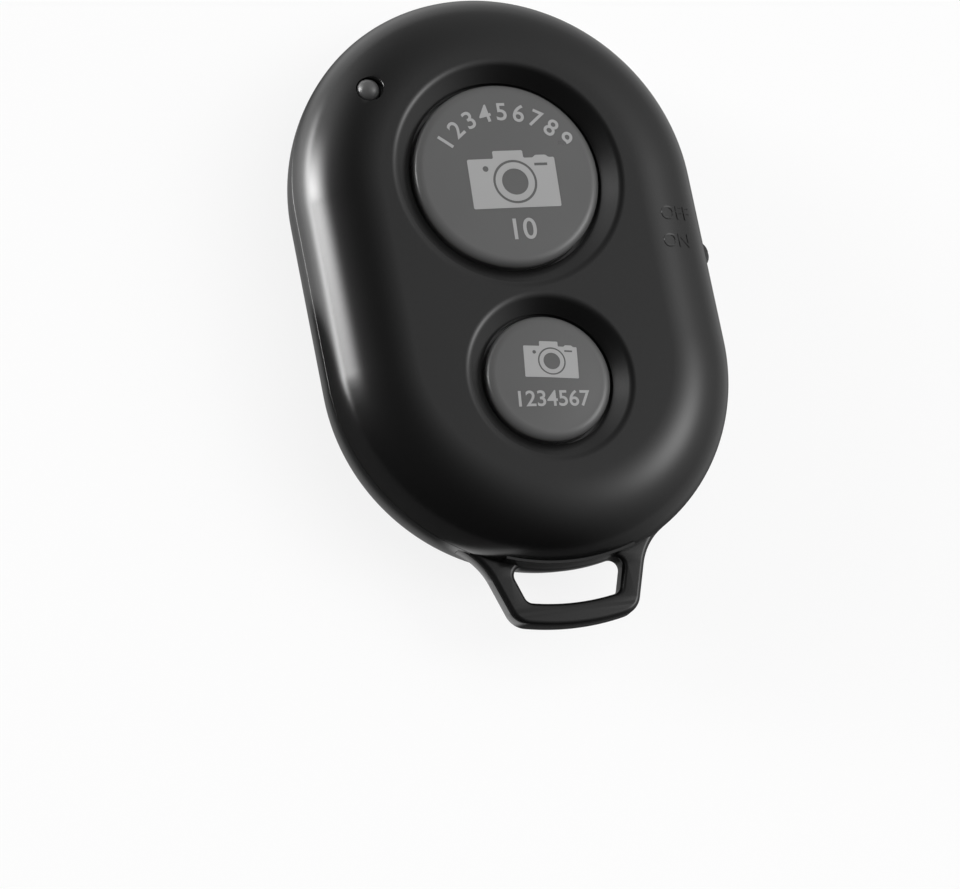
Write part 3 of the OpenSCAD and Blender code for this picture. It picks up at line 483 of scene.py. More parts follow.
# %% [markdown]
# The indicator's hole has a small rounded edge that catches the light. It is square to the
# shoulder, so its cutter leans outwards with the surface there.

# %% Cut the indicator's hole and the slot of the switch
PIPE_X, PIPE_Y, PIPE_R, PIPE_TIP = -9.58, 15.05, 0.9, 10.75
PIPE_GAP, PIPE_EDGE, EDGE_DEPTH, LEAN_SPAN = 0.1, 0.2, 0.8, 0.4
HOLE_LOW, HOLE_HIGH = 5, 12


def front_height(r):
    """Height of the front shell at a distance from the middle line."""
    share = max(0.0, r - (BODY_R - FRONT_ROUND)) / FRONT_ROUND
    return SEAM_Z + SEAM_BEVEL + (BODY_T - SEAM_Z - SEAM_BEVEL) * (1 - share * share) ** 0.5


def tube(name, x, y, r, low, high, material=SHELL, facets=24):
    return swept(name, [(0, low), (r, low), (r, high), (0, high)], material, facets=facets, at=(x, y, 0))


def rounded(w, l, r, steps=8):
    """Outline of a rectangle with round corners."""
    x, y = w / 2 - r, l / 2 - r
    return (arc(x, y, r, 0, 90, steps) + arc(-x, y, r, 90, 180, steps)
            + arc(-x, -y, r, 180, 270, steps) + arc(x, -y, r, 270, 360, steps))


def plate(name, outline, low, high, at=(0, 0, 0), material=SHELL):
    """An outline of (x, y) points raised from one height to another."""
    mesh = bpy.data.meshes.new(name)
    n = len(outline)
    points = [(x, y, z) for z in (low, high) for x, y in outline]
    sides = [(i, (i + 1) % n, n + (i + 1) % n, n + i) for i in range(n)]
    mesh.from_pydata([Vector(p) * MM for p in points], [],
                     [tuple(reversed(range(n))), tuple(range(n, 2 * n)), *sides])
    mesh.materials.append(material)
    mesh.transform(Matrix.Translation(Vector(at) * MM))
    return outward(new_object(name, mesh))


SLIDE_Y, SLIDE_TRAVEL = 1.75, 2.0
NUB_Z, NUB_L, NUB_H, NUB_GAP = 6.1, 2.0, 1.4, 0.3
SLOT_X, SLOT_DEPTH, SLOT_CORNER = 15.3, 3.4, 0.35


def slot_cutter(high_z):
    """The slot of the switch, a bar that points out of the side, up to a height."""
    low_z = NUB_Z - NUB_H / 2 - NUB_GAP
    length = NUB_L + SLIDE_TRAVEL + 2 * NUB_GAP
    bar = plate("slot", rounded(high_z - low_z, length, SLOT_CORNER), -SLOT_DEPTH / 2, SLOT_DEPTH / 2)
    at = Vector((SLOT_X, SLIDE_Y, (low_z + high_z) / 2)) * MM
    bar.data.transform(Matrix.Translation(at) @ Matrix.Rotation(pi / 2, 4, "Y"))
    return bar


def root_band(low_r, high_r, width, low_z, high_z):
    """A ring sector over the loop's root, where the rear shell stands in a notch of the front."""
    turn = degrees(asin(width / 2 / BODY_R))
    outline = (arc(0, -END_Y, low_r, -90 - turn, -90 + turn, 24)
               + arc(0, -END_Y, high_r, -90 + turn, -90 - turn, 24))
    return plate("band", outline, low_z, high_z)


BAND_W, BAND_H, BAND_GAP = 10.4, 1.2, 0.04
BAND_Z = SEAM_Z + BAND_H


pipe_far = hypot(PIPE_X, PIPE_Y - END_Y)
pipe_top = front_height(pipe_far)
fall = front_height(pipe_far - LEAN_SPAN / 2) - front_height(pipe_far + LEAN_SPAN / 2)
lean = atan2(fall, LEAN_SPAN)
hole_r = PIPE_R + PIPE_GAP
edge = swept("edge", [
    (0, -EDGE_DEPTH), (hole_r, -EDGE_DEPTH), *arc(hole_r + PIPE_EDGE, -PIPE_EDGE, PIPE_EDGE, 180, 90, 6),
    (hole_r + PIPE_EDGE, OVERRUN), (0, OVERRUN),
], facets=32)
outwards = atan2(PIPE_Y - END_Y, PIPE_X)
edge.data.transform(Matrix.Translation(Vector((PIPE_X, PIPE_Y, pipe_top)) * MM)
                    @ Matrix.Rotation(outwards, 4, "Z") @ Matrix.Rotation(lean, 4, "Y"))
notch = root_band(
    LIP_R + LIP_GAP, BODY_R + 2 * OVERRUN, BAND_W + 2 * LIP_GAP, SEAM_Z - 2 * OVERRUN, BAND_Z
)
combine(front, "DIFFERENCE", edge, tube("hole", PIPE_X, PIPE_Y, hole_r, HOLE_LOW, HOLE_HIGH, facets=32),
        slot_cutter(NUB_Z + NUB_H / 2 + NUB_GAP), notch)
smooth(front)
print("surface at the indicator:", round(pipe_top, 2), "mm, leaning", round(degrees(lean), 1), "degrees")

# %% [markdown]
# ## The rear shell and its strap loop
# The loop is moulded in one piece with the rear shell. Its outline is a bowed bar between two
# straight arms that flare into the case. A curve with a bevel gives it softly rounded edges.

# %% Outline of the loop and its slot
def unit(v):
    return v / v.length


def bearing(v):
    return degrees(atan2(v.y, v.x))


def on_line(p, d, c, far):
    """First point along a line from p in direction d that lies at distance far from c."""
    w = p - c
    b = w.dot(d)
    return p + d * (-b - (b * b - w.dot(w) + far * far) ** 0.5)


def both_sides(half):
    return half + [(-x, y) for x, y in reversed(half[1:-1])]


LOOP_REACH, LOOP_T, BOW_R, CORNER_R, FLARE_R = 4.5, 1.7, 20.0, 1.7, 5.0
LOOP_TIP = -(END_Y + BODY_R + LOOP_REACH)
TIP_W, ROOT_W, BAR_T = 9.5, 12.5, 1.75
NEAR_W, FAR_W, SLOT_R, LOOP_EDGE = 9.0, 7.2, 0.7, 0.4
LOOP_END, BOW = Vector((0, -END_Y)), Vector((0, LOOP_TIP + BOW_R))


def loop_outline(steps=12):
    tip = Vector((TIP_W / 2, LOOP_TIP))
    along = unit(Vector((ROOT_W / 2, LOOP_TIP + LOOP_REACH)) - tip)
    out = Vector((along.y, -along.x))
    corner = on_line(tip - out * CORNER_R, along, BOW, BOW_R - CORNER_R)
    flare = on_line(tip + out * FLARE_R, along, LOOP_END, BODY_R + FLARE_R)
    a, b = bearing(corner - BOW), bearing(out)
    return both_sides(
        arc(*BOW, BOW_R, -90, a, steps) + arc(*corner, CORNER_R, a, b, steps)
        + arc(*flare, FLARE_R, b + 180, bearing(LOOP_END - flare) % 360, steps)
        + arc(*LOOP_END, INNER_R + WALL / 4, bearing(flare - LOOP_END), -90, steps)
    )


def slot_outline(steps=10):
    far = Vector((FAR_W / 2, LOOP_TIP + BAR_T))
    along = unit(Vector((NEAR_W / 2, -END_Y - BODY_R)) - far)
    out = Vector((along.y, -along.x))
    line = far - out * SLOT_R
    low = on_line(line, along, BOW, BOW_R - BAR_T - SLOT_R)
    high = on_line(line, along, LOOP_END, BODY_R + SLOT_R)
    a, b, c = bearing(low - BOW), bearing(out), bearing(high - LOOP_END)
    return both_sides(
        arc(*BOW, BOW_R - BAR_T, -90, a, steps) + arc(*low, SLOT_R, a, b, steps)
        + arc(*high, SLOT_R, b, c + 180, steps) + arc(*LOOP_END, BODY_R, c, -90, steps)
    )


print("loop outline:", len(loop_outline()), "points, slot:", len(slot_outline()))


# %% A flat shape with rounded edges, from a filled curve
def filled(name, outlines, low, high, edge_r=0.0, material=SHELL, steps=4):
    """Raises flat outlines, holes included, between two heights, with rounded edges."""
    curve = bpy.data.curves.new(name, "CURVE")
    curve.dimensions, curve.fill_mode = "2D", "BOTH"
    curve.extrude = ((high - low) / 2 - edge_r) * MM
    curve.bevel_depth, curve.bevel_resolution, curve.offset = edge_r * MM, steps, -edge_r * MM
    for outline in outlines:
        spline = curve.splines.new("POLY")
        spline.points.add(len(outline) - 1)
        for point, (x, y) in zip(spline.points, outline):
            point.co = (x * MM, y * MM, 0, 1)
        spline.use_cyclic_u = True
    drawn = new_object(name, curve)
    state = bpy.context.evaluated_depsgraph_get()
    mesh = bpy.data.meshes.new_from_object(drawn.evaluated_get(state), depsgraph=state)
    bpy.data.objects.remove(drawn)
    mesh.transform(Matrix.Translation((0, 0, (low + high) / 2 * MM)))
    mesh.materials.clear()
    mesh.materials.append(material)
    return outward(new_object(name, mesh))


loop = filled("loop", [loop_outline(), slot_outline()], SEAM_Z - LOOP_T, SEAM_Z, LOOP_EDGE)
report(loop)

# %% Sweep the rear shell and cut the battery bay
CELL_R, CELL_GAP, BAY_WALL, ROOM_GAP = 10.0, 0.2, 0.6, 0.2
DOOR_W, DOOR_L, DOOR_T, DOOR_GAP, DOOR_CORNER = 22.4, 24.0, 0.9, 0.1, 6.0
DOOR_LOW, DOOR_HIGH = CELL_Y - DOOR_L / 2, CELL_Y + DOOR_L / 2
BOARD_Z, SEAT_Z, SCREW_X, SCREW_Y = 4.6, 2.2, 9.3, -4.1
TONGUE_X, TONGUE_W, TONGUE_L, TONGUE_ROOT, RIM_T = 3.4, 2.8, 1.2, 1.5, 0.7
LATCH_W, LATCH_T, LATCH_H, LATCH_SETBACK, LATCH_ROOM_H = 5.0, 0.8, 0.8, 0.3, 1.0
CONTACT_IN, CONTACT_OUT, CONTACT_W, CONTACT_TOP = -9.5, -12, 4.4, 6.8
HEAD_R, SHANK_R, SHANK_TOP = 1.4, 0.9, 5.5
SCOOP_R, SCOOP_DEPTH, SCOOP_OFFSET = 5, 0.7, 1

rear_section = [
    (0, 0),
    *shoulder(BODY_R - BACK_ROUND, BACK_ROUND, SEAM_Z - SEAM_BEVEL, 0),
    (BODY_R - SEAM_BEVEL, SEAM_Z), (LIP_R, SEAM_Z), (LIP_R, LIP_Z), (INNER_R, LIP_Z),
    *reversed(shoulder(BODY_R - BACK_ROUND, BACK_ROUND - WALL, SEAM_Z, FLOOR_T, 16)),
    (0, FLOOR_T),
]


def box(name, x0, x1, y0, y1, z0, z1, material=SHELL):
    return plate(name, [(x0, y0), (x1, y0), (x1, y1), (x0, y1)], z0, z1, material=material)


rear = swept("rear_shell_skin", rear_section, run=END_Y, facets=96)
bay_outline = rounded(DOOR_W + 2 * BAY_WALL, DOOR_L + 2 * BAY_WALL, DOOR_CORNER + BAY_WALL)
bay = plate("bay", bay_outline, FLOOR_T / 2, BOARD_Z, (0, CELL_Y, 0))
band = root_band(LIP_R + 2 * LIP_GAP, BODY_R, BAND_W, SEAM_Z - 2 * SEAM_BEVEL, BAND_Z - BAND_GAP)
combine(rear, "UNION", loop, bay, band)
recess_outline = rounded(DOOR_W + 2 * DOOR_GAP, DOOR_L + 2 * DOOR_GAP, DOOR_CORNER + DOOR_GAP)
recess = plate("recess", recess_outline, -OVERRUN, DOOR_T + DOOR_GAP, (0, CELL_Y, 0))
cell_room = tube("cell_room", 0, CELL_Y, CELL_R + CELL_GAP, DOOR_T, BOARD_Z + OVERRUN, facets=64)
room_w = TONGUE_W / 2 + ROOM_GAP
tongue_rooms = [
    box("room", s * TONGUE_X - room_w, s * TONGUE_X + room_w, DOOR_HIGH - TONGUE_ROOT - OVERRUN,
        DOOR_HIGH + TONGUE_L + ROOM_GAP, RIM_T, SEAT_Z)
    for s in (-1, 1)
]
latch_end = DOOR_LOW + LATCH_SETBACK + LATCH_T
latch_room = box("latch_room", -LATCH_W / 2 - ROOM_GAP, LATCH_W / 2 + ROOM_GAP, DOOR_LOW,
                 latch_end + LATCH_SETBACK, DOOR_T, DOOR_T + LATCH_ROOM_H)
contact_room = box("contact_room", CONTACT_OUT, CONTACT_IN, CELL_Y - CONTACT_W / 2,
                   CELL_Y + CONTACT_W / 2, SEAT_Z, CONTACT_TOP)
screw_rooms = [tube("room", s * SCREW_X, SCREW_Y, HEAD_R, DOOR_T, SEAT_Z) for s in (-1, 1)]
screw_holes = [tube("hole", s * SCREW_X, SCREW_Y, SHANK_R, DOOR_T, SHANK_TOP) for s in (-1, 1)]
scoop = swept("scoop", arc(0, 0, SCOOP_R, -90, 90, 48), facets=48,
              at=(0, DOOR_LOW - SCOOP_OFFSET, SCOOP_DEPTH - SCOOP_R))
combine(rear, "DIFFERENCE", recess, cell_room, *tongue_rooms, latch_room, contact_room,
        *screw_rooms, *screw_holes, scoop, slot_cutter(LIP_Z + OVERRUN))
smooth(rear)
report(rear)

# %% [markdown]
# ## The battery door
# The door is a thin plate with two tongues and a latch tab. Three grip lines are cut near its
# latch end, where it is pushed open.

# %% The door
DOOR_BEVEL, TONGUE_Z, TONGUE_T = 0.12, 0.75, 0.6
GRIPS, GRIP_L, GRIP_W, GRIP_CORNER, GRIP_DEPTH, GRIP_PITCH, GRIP_FROM = 3, 7, 0.5, 0.24, 0.22, 1.1, 2.0

door = plate("battery_door_skin", rounded(DOOR_W, DOOR_L, DOOR_CORNER, 16), 0, DOOR_T, (0, CELL_Y, 0))
bevel = door.modifiers.new("bevel", "BEVEL")
bevel.width, bevel.segments = DOOR_BEVEL * MM, 3
bevel.limit_method, bevel.angle_limit = "ANGLE", radians(60)
freeze(door)
tongues = [
    box("tongue", s * TONGUE_X - TONGUE_W / 2, s * TONGUE_X + TONGUE_W / 2, DOOR_HIGH - TONGUE_ROOT,
        DOOR_HIGH + TONGUE_L, TONGUE_Z, TONGUE_Z + TONGUE_T)
    for s in (-1, 1)
]
latch = box("latch", -LATCH_W / 2, LATCH_W / 2, DOOR_LOW + LATCH_SETBACK, latch_end, DOOR_T / 2,
            DOOR_T + LATCH_H)
combine(door, "UNION", *tongues, latch)
grips = [
    plate("grip", rounded(GRIP_L - i, GRIP_W, GRIP_CORNER), -0.3, GRIP_DEPTH,
          (0, DOOR_LOW + GRIP_FROM + i * GRIP_PITCH, 0))
    for i in range(GRIPS)
]
combine(door, "DIFFERENCE", *grips)
smooth(door)
report(door)

# %% [markdown]
# ## The buttons
# Each button has a faintly domed face that rolls over at its edge, a skirt, and a flange that
# the shell holds down. Under the face a stem and two crossed ribs carry the push to the switch.

# %% Two buttons
PLUNGER_TOP, EDGE_W, EDGE_H = 7.5, 0.8, 0.5
CAP_T, SKIRT_T, STEM_R, RIB_T = 1.2, 1, 1.6, 0.8
FLANGE_W, FLANGE_T, FLANGE_GAP = 0.85, 0.6, 0.05


def dome(size, far):
    """Height of a button's face at a distance from its middle."""
    return size["crown_z"] - far * far / (2 * size["dome_r"])


def button(name, size):
    """A button as a swept section, with its stem and ribs joined on."""
    r, face_z = size["d"] / 2, size["face_z"]
    flat_r = r - EDGE_W
    top_z = dome(size, flat_r)
    under_z = face_z - CAP_T
    flange_top = face_z - LEDGE_DROP - LEDGE_T - FLANGE_GAP
    flange_z, flange_r, hollow_r = flange_top - FLANGE_T, r + FLANGE_W, r - SKIRT_T
    section = [
        (0, under_z), (hollow_r, under_z), (hollow_r, flange_z), (flange_r, flange_z),
        (flange_r, flange_top), (r, flange_top),
        *reversed(shoulder(flat_r, EDGE_W, top_z - EDGE_H, top_z, 32)),
        *[(flat_r * (1 - i / 10), dome(size, flat_r * (1 - i / 10))) for i in range(1, 11)],
    ]
    made = swept(name, section, BUTTON, facets=96, at=(0, size["y"], 0))
    stem = tube("stem", 0, size["y"], STEM_R, PLUNGER_TOP, under_z + CAP_T / 2, BUTTON)
    reach = hollow_r + SKIRT_T / 2
    ribs = [
        box("rib", -x, x, size["y"] - y, size["y"] + y, flange_z, under_z + CAP_T / 2, BUTTON)
        for x, y in ((reach, RIB_T / 2), (RIB_T / 2, reach))
    ]
    combine(made, "UNION", stem, *ribs)
    return report(smooth(made))


large_button = button("large_button_cap", LARGE)
small_button = button("small_button_cap", SMALL)

# %% [markdown]
# ## Prints on the buttons
# Each button carries a plain camera sign and plain numbers in light grey ink. A print is a very thin
# film, so it is a flat outline with holes that stands a hundredth or two of a millimetre proud.

# %% A plain camera sign
def circle(x, y, r, steps=48):
    return arc(x, y, r, 0, 360, steps)[:-1]


def softened(outline, r):
    """Cuts each corner of an outline short, for the round corners of ink."""
    made = []
    for i, (x, y) in enumerate(outline):
        for bx, by in (outline[i - 1], outline[(i + 1) % len(outline)]):
            share = min(0.4, r / hypot(bx - x, by - y))
            made.append((x + (bx - x) * share, y + (by - y) * share))
    return made


def camera_sign(w, h):
    """Outlines of a plain camera: body with its two bumps, rings of the lens, dot and window."""
    def at(across, down):
        return ((across - 0.5) * w, (0.5 - down) * h)

    bump, nick = -0.155, -0.05
    body = [at(0, 1), at(1, 1), at(1, 0), at(0.93, 0), at(0.905, nick), at(0.78, nick), at(0.755, 0),
            at(0.645, 0), at(0.645, bump), at(0.3, bump), at(0.3, 0), at(0, 0)]
    lens = at(0.512, 0.476)
    window = [at(0.76, 0.11), at(0.91, 0.11), at(0.91, 0.165), at(0.76, 0.165)]
    rings = [circle(*lens, h * share) for share in (0.44, 0.392, 0.265)]
    return [softened(body, w * 0.012), *rings, circle(*at(0.196, 0.2), h * 0.058, 24), window]


def turned(outlines, turn, dx, dy):
    """Outlines turned about the origin by an angle in degrees and then moved."""
    c, k = cos(radians(turn)), sin(radians(turn))
    return [[(x * c - y * k + dx, x * k + y * c + dy) for x, y in outline] for outline in outlines]


PRINT_CELL, CELLS_EACH_WAY = 0.6, 12
PRINT_SUNK, PRINT_PROUD = 0.005, 0.015


def laid(piece, size):
    """Cuts a thin print into small cells and lays them on a button's dome."""
    mesh = bmesh.new()
    mesh.from_mesh(piece.data)
    for axis in (0, 1):
        for i in range(-CELLS_EACH_WAY, CELLS_EACH_WAY + 1):
            at, way = Vector((0, size["y"], 0)) * MM, Vector((0, 0, 0))
            at[axis] += i * PRINT_CELL * MM
            way[axis] = 1
            whole = [*mesh.verts, *mesh.edges, *mesh.faces]
            bmesh.ops.bisect_plane(mesh, geom=whole, plane_co=at, plane_no=way)
    for v in mesh.verts:
        far = hypot(v.co.x, v.co.y - size["y"] * MM) / MM
        v.co.z += dome(size, far) * MM
    mesh.to_mesh(piece.data)
    mesh.free()
    return report(outward(piece))


def printed(name, outlines, size, turn, dx, dy):
    """A printed sign at a place from the button's middle."""
    outlines = turned(outlines, turn, dx, size["y"] + dy)
    return laid(filled(name, outlines, -PRINT_SUNK, PRINT_PROUD, material=PRINT), size)


large_sign, small_sign = camera_sign(w=7.05, h=4.0), camera_sign(w=4.25, h=2.5)
large_print = printed("large_button_sign", large_sign, LARGE, turn=-2.7, dx=0.35, dy=-0.77)
small_print = printed("small_button_sign", small_sign, SMALL, turn=-7.6, dx=0.31, dy=1.13)

# %% Numbers on the buttons and words at the switch
CAPITAL_SHARE, LETTER_HALF_T, INK_SPREAD = 0.7, 0.01, 0.02


def lettering(name, text, height, material, weight=0.0):
    """Text as a flat mesh, centred, with capitals of a given height."""
    curve = bpy.data.curves.new(name, "FONT")
    curve.body, curve.align_x, curve.align_y = text, "CENTER", "CENTER"
    curve.size = height / CAPITAL_SHARE * MM
    curve.extrude, curve.offset = LETTER_HALF_T * MM, weight * MM
    drawn = new_object(name, curve)
    state = bpy.context.evaluated_depsgraph_get()
    mesh = bpy.data.meshes.new_from_object(drawn.evaluated_get(state), depsgraph=state)
    bpy.data.objects.remove(drawn)
    mesh.materials.clear()
    mesh.materials.append(material)
    return outward(new_object(name, mesh))


def number(name, text, height, size, dx, dy, turn=0.0):
    """A printed number on a button, at a place from the button's middle."""
    made = lettering(name, text, height, PRINT, INK_SPREAD)
    spot = Vector((dx, size["y"] + dy, LETTER_HALF_T - PRINT_SUNK)) * MM
    made.data.transform(Matrix.Translation(spot) @ Matrix.Rotation(radians(turn), 4, "Z"))
    return made


def joined(name, pieces):
    """One mesh of several pieces."""
    mesh = bmesh.new()
    for piece in pieces:
        mesh.from_mesh(piece.data)
    made = new_object(name, bpy.data.meshes.new(name))
    mesh.to_mesh(made.data)
    mesh.free()
    made.data.materials.append(pieces[0].data.materials[0])
    for piece in pieces:
        bpy.data.objects.remove(piece)
    return made


DIAL, DIAL_H, DIAL_FROM, DIAL_TO = "123456789", 1.4, 139, 34
DIAL_X, DIAL_Y, DIAL_R = 0.12, -0.99, 5.98

gaps = len(DIAL) - 1
dial = [
    number("dial", DIAL[i], DIAL_H, LARGE, dx, dy, DIAL_FROM + (DIAL_TO - DIAL_FROM) * i / gaps - 90)
    for i, (dx, dy) in enumerate(arc(DIAL_X, DIAL_Y, DIAL_R, DIAL_FROM, DIAL_TO, gaps))
]
dial.append(number("dial", "10", height=1.65, size=LARGE, dx=0.27, dy=-4.56, turn=-2.7))
large_number = laid(joined("large_button_numbers", dial), LARGE)
row = [number("row", "1234567", height=1.2, size=SMALL, dx=-0.18, dy=-1.78, turn=-5)]
small_number = laid(joined("small_button_numbers", row), SMALL)


WORD_H, WORD_PROUD, WORD_SUNK, SLOPE_STEP = 1.1, 0.05, 0.1, 0.01


def on_shoulder(piece, x, y):
    """Lays a flat mesh on the straight part of the shoulder, with its upper side standing proud."""
    for v in piece.data.vertices:
        far = x + v.co.x / MM
        slope = (front_height(far + SLOPE_STEP) - front_height(far - SLOPE_STEP)) / (2 * SLOPE_STEP)
        normal = unit(Vector((-slope, 1)))
        lift = WORD_PROUD if v.co.z > 0 else -WORD_SUNK
        v.co = Vector((far + normal.x * lift, y + v.co.y / MM, front_height(far) + normal.y * lift)) * MM
    return outward(piece)


on_word = on_shoulder(lettering("word_on", "ON", WORD_H, SHELL), x=12.55, y=0.7)
off_word = on_shoulder(lettering("word_off", "OFF", WORD_H, SHELL), x=12.95, y=2.95)
print("signs, numbers and words made")

# %% [markdown]
# ## The light pipe and the knob
# The light pipe is a smoky pin with a low dome. The knob is a small rounded nub on a neck that comes
# out of the switch. It swells softly out of the side. Of its three grip grooves the middle one shows
# best, and the outer two are hardly deeper than a scratch, because the swell falls away under them.

# %% Light pipe
BOARD_TOP, LAMP_H, LAMP_GAP = 5.4, 0.8, 0.3
FOOT_R, FOOT_T, TIP_H, TIP_STEP = 1.5, 0.8, 0.75, 6

foot_z, tip_z = BOARD_TOP + LAMP_H + LAMP_GAP, PIPE_TIP - TIP_H
tip = [
    (PIPE_R * cos(radians(a)), tip_z + TIP_H * sin(radians(a)))
    for a in range(TIP_STEP, 91, TIP_STEP)
]
pipe = swept(
    "light_pipe_pin",
    [(0, foot_z), (FOOT_R, foot_z), (FOOT_R, foot_z + FOOT_T), (PIPE_R, foot_z + FOOT_T),
     (PIPE_R, tip_z), *tip],
    PIPE, facets=48, at=(PIPE_X, PIPE_Y, 0),
)
smooth(pipe)
report(pipe)

# %% Knob of the slide switch
KNOB_Y, NUB_X, NUB_REACH = SLIDE_Y - SLIDE_TRAVEL / 2, INNER_R - LIP_GAP, 0.6
NUB_EDGE, BULGE_SUNK, BULGE_POWER, BULGE_STEPS = 0.25, 0.2, 2.2, 32
SLIDER_LOW, SLIDER_HIGH, SLIDER_X, NECK_X, NECK_L, NECK_SUNK = 5.95, 6.55, 13.88, 13.8, 1.2, 0.3
GROOVE_R, GROOVE_OFF, GROOVE_PITCH, GROOVE_LOW, GROOVE_HIGH = 0.12, 0.04, 0.45, 5, 7.5

bulge = [
    (BODY_R - BULGE_SUNK
     + (NUB_REACH + BULGE_SUNK) * max(0.0, 1 - abs(t) ** BULGE_POWER) ** (1 / BULGE_POWER),
     KNOB_Y + t * NUB_L / 2)
    for t in [-1 + 2 * i / BULGE_STEPS for i in range(BULGE_STEPS + 1)]
]
knob = filled("slide_knob_skin",
              [[(NUB_X, KNOB_Y - NUB_L / 2), *bulge, (NUB_X, KNOB_Y + NUB_L / 2)]],
              NUB_Z - NUB_H / 2, NUB_Z + NUB_H / 2, NUB_EDGE, KNOB)
cad_knob = [[c / MM for c in corner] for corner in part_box("slide_switch_knob")]
print("the solid knob's box in mm:", cad_knob)
slider = box("slider", cad_knob[0][0], SLIDER_X, KNOB_Y - NUB_L / 2, KNOB_Y + NUB_L / 2,
             SLIDER_LOW, SLIDER_HIGH, KNOB)
neck = box("neck", NECK_X, NUB_X + NECK_SUNK, KNOB_Y - NECK_L / 2, KNOB_Y + NECK_L / 2,
           SLIDER_LOW, SLIDER_HIGH, KNOB)
combine(knob, "UNION", slider, neck)
grooves = [
    tube("groove", BODY_R + NUB_REACH + GROOVE_OFF, KNOB_Y + i * GROOVE_PITCH, GROOVE_R,
         GROOVE_LOW, GROOVE_HIGH, KNOB)
    for i in (-1, 0, 1)
]
combine(knob, "DIFFERENCE", *grooves)
smooth(knob)
report(knob)

# %% Coin cell
CAN_LOW, CAN_HIGH, CAN_T, CAN_ROUND = 1.0, 3.85, 0.25, 0.5
CRIMP_W, CRIMP_ROUND, BEND_H = 0.6, 0.15, 0.3
PLUS_L, PLUS_W, PLUS_DEPTH = 5.2, 1.0, 0.05

cell = swept(
    "cell_can_skin",
    [(0, CAN_LOW), *arc(CELL_R - CAN_ROUND, CAN_LOW + CAN_ROUND, CAN_ROUND, -90, 0, 10),
     *arc(CELL_R - CRIMP_ROUND, CAN_HIGH - CRIMP_ROUND, CRIMP_ROUND, 0, 90, 4),
     (CELL_R - CRIMP_W, CAN_HIGH), (CELL_R - CRIMP_W, CAN_HIGH - CAN_T), (CELL_R - CAN_T, CAN_HIGH - CAN_T),
     (CELL_R - CAN_T, CAN_LOW + CAN_T + BEND_H), (CELL_R - CRIMP_W, CAN_LOW + CAN_T), (0, CAN_LOW + CAN_T)],
    CELL, facets=96, at=(0, CELL_Y, 0),
)
plus = [
    box("plus", -x / 2, x / 2, CELL_Y - y / 2, CELL_Y + y / 2, CAN_LOW - 0.1, CAN_LOW + PLUS_DEPTH, CELL)
    for x, y in ((PLUS_L, PLUS_W), (PLUS_W, PLUS_L))
]
combine(cell, "DIFFERENCE", *plus)
smooth(cell)
report(cell)

# %% [markdown]
# ## Riding on the bodies
# Each piece rides on the body that carries it, and stands for the solid that it replaces.

# %% Tie the pieces to the model
for piece, body, slot, nodes in (
    (front, "root", "shell", ["front_shell"]),
    (rear, "root", "shell", ["rear_shell"]),
    (door, "battery_door", "shell", ["battery_door"]),
    (large_button, "large_button", "button", ["large_button"]),
    (small_button, "small_button", "button", ["small_button"]),
    (large_print, "large_button", "button", []),
    (small_print, "small_button", "button", []),
    (large_number, "large_button", "button", []),
    (small_number, "small_button", "button", []),
    (on_word, "root", "shell", []),
    (off_word, "root", "shell", []),
    (pipe, "root", "light_pipe", ["light_pipe"]),
    (cell, "root", "steel", ["cell_can"]),
    (knob, "slide_knob", "knob", ["slide_switch_knob"]),
):
    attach(piece, body)
    if nodes:
        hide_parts(*nodes)

# %% Finishes of the solids that show as they are
FINISHES = {
    "circuit_board": BOARD, "antenna_trace": COPPER, "radio_chip": CHIP, "memory_chip": CHIP,
    "memory_chip_leads": TIN, "crystal": TIN, "capacitors": CERAMIC, "resistors": CHIP,
    "indicator_lamp": LAMP, "slide_switch_case": STEEL, "slide_switch_base": CHIP,
    "slide_switch_terminals": TIN, "slide_switch_wiper": COPPER,
    "cell_gasket": GASKET, "cell_cap": CELL, "cell_core": CORE, "side_contact": STEEL,
    "top_contact": STEEL, "case_screws": SCREW,
}
SWITCH_FINISHES = {"base": CHIP, "cover": STEEL, "dome": STEEL, "plunger": KNOB, "terminals": TIN}
for size in ("large", "small"):
    for part, finish in SWITCH_FINISHES.items():
        FINISHES[f"{size}_switch_{part}"] = finish
for name, finish in FINISHES.items():
    for material_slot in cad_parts[name].material_slots:
        material_slot.material = finish
print("solids with a new finish:", len(FINISHES))

# %% [markdown]
# ## Floor and light
# The photograph has a plain white background. The floor is pale, and what the camera
# sees of it is lifted towards white, while the shadow under the remote stays. What the gloss sees of
# it is chosen so that the highlights fall where the photograph has them: bright close by and below the
# window, dim elsewhere.

# %% A pale floor
floor_material, net = new_material("pale_floor")
rays = net.node("ShaderNodeLightPath")
spot_on_floor = net.node("ShaderNodeSeparateXYZ", None, {0: place(net)})
x, y = spot_on_floor["X"], spot_on_floor["Y"]
azimuth = y.math("ARCTAN2", x) * (180 / pi)
past_end = (y.math("ABSOLUTE") - END_Y).math("MAXIMUM", 0)
beyond = (x * x + past_end * past_end) ** 0.5 - BODY_R
bright_side = net.ramp(azimuth, -75, -35, 0.06, 0.55) + net.ramp(azimuth, 60, 126, 0, 0.8)
left_side = net.ramp(azimuth, 120, 152) * net.ramp(azimuth, 171, 179, 1, 0)
patch = left_side * net.ramp(beyond, 3, 90, 0, 16)
far_floor = bright_side - net.ramp(azimuth, 171, 179, 0, 1.29) + patch
beside_loop = net.ramp(y, -21, -23) * net.ramp(x, -4, -6) * net.ramp(x, -11, -8)
near_floor = net.ramp(beyond, 2, 0.5, 0, 0.3) + left_side * net.ramp(beyond, 0.5, 2.5, 0, 0.6)
mirrored = net.ramp(beyond, 1, 14) * far_floor + near_floor + beside_loop * 1.6
share = rays["Is Camera Ray"] * 0.85 + rays["Is Glossy Ray"] * 0.9
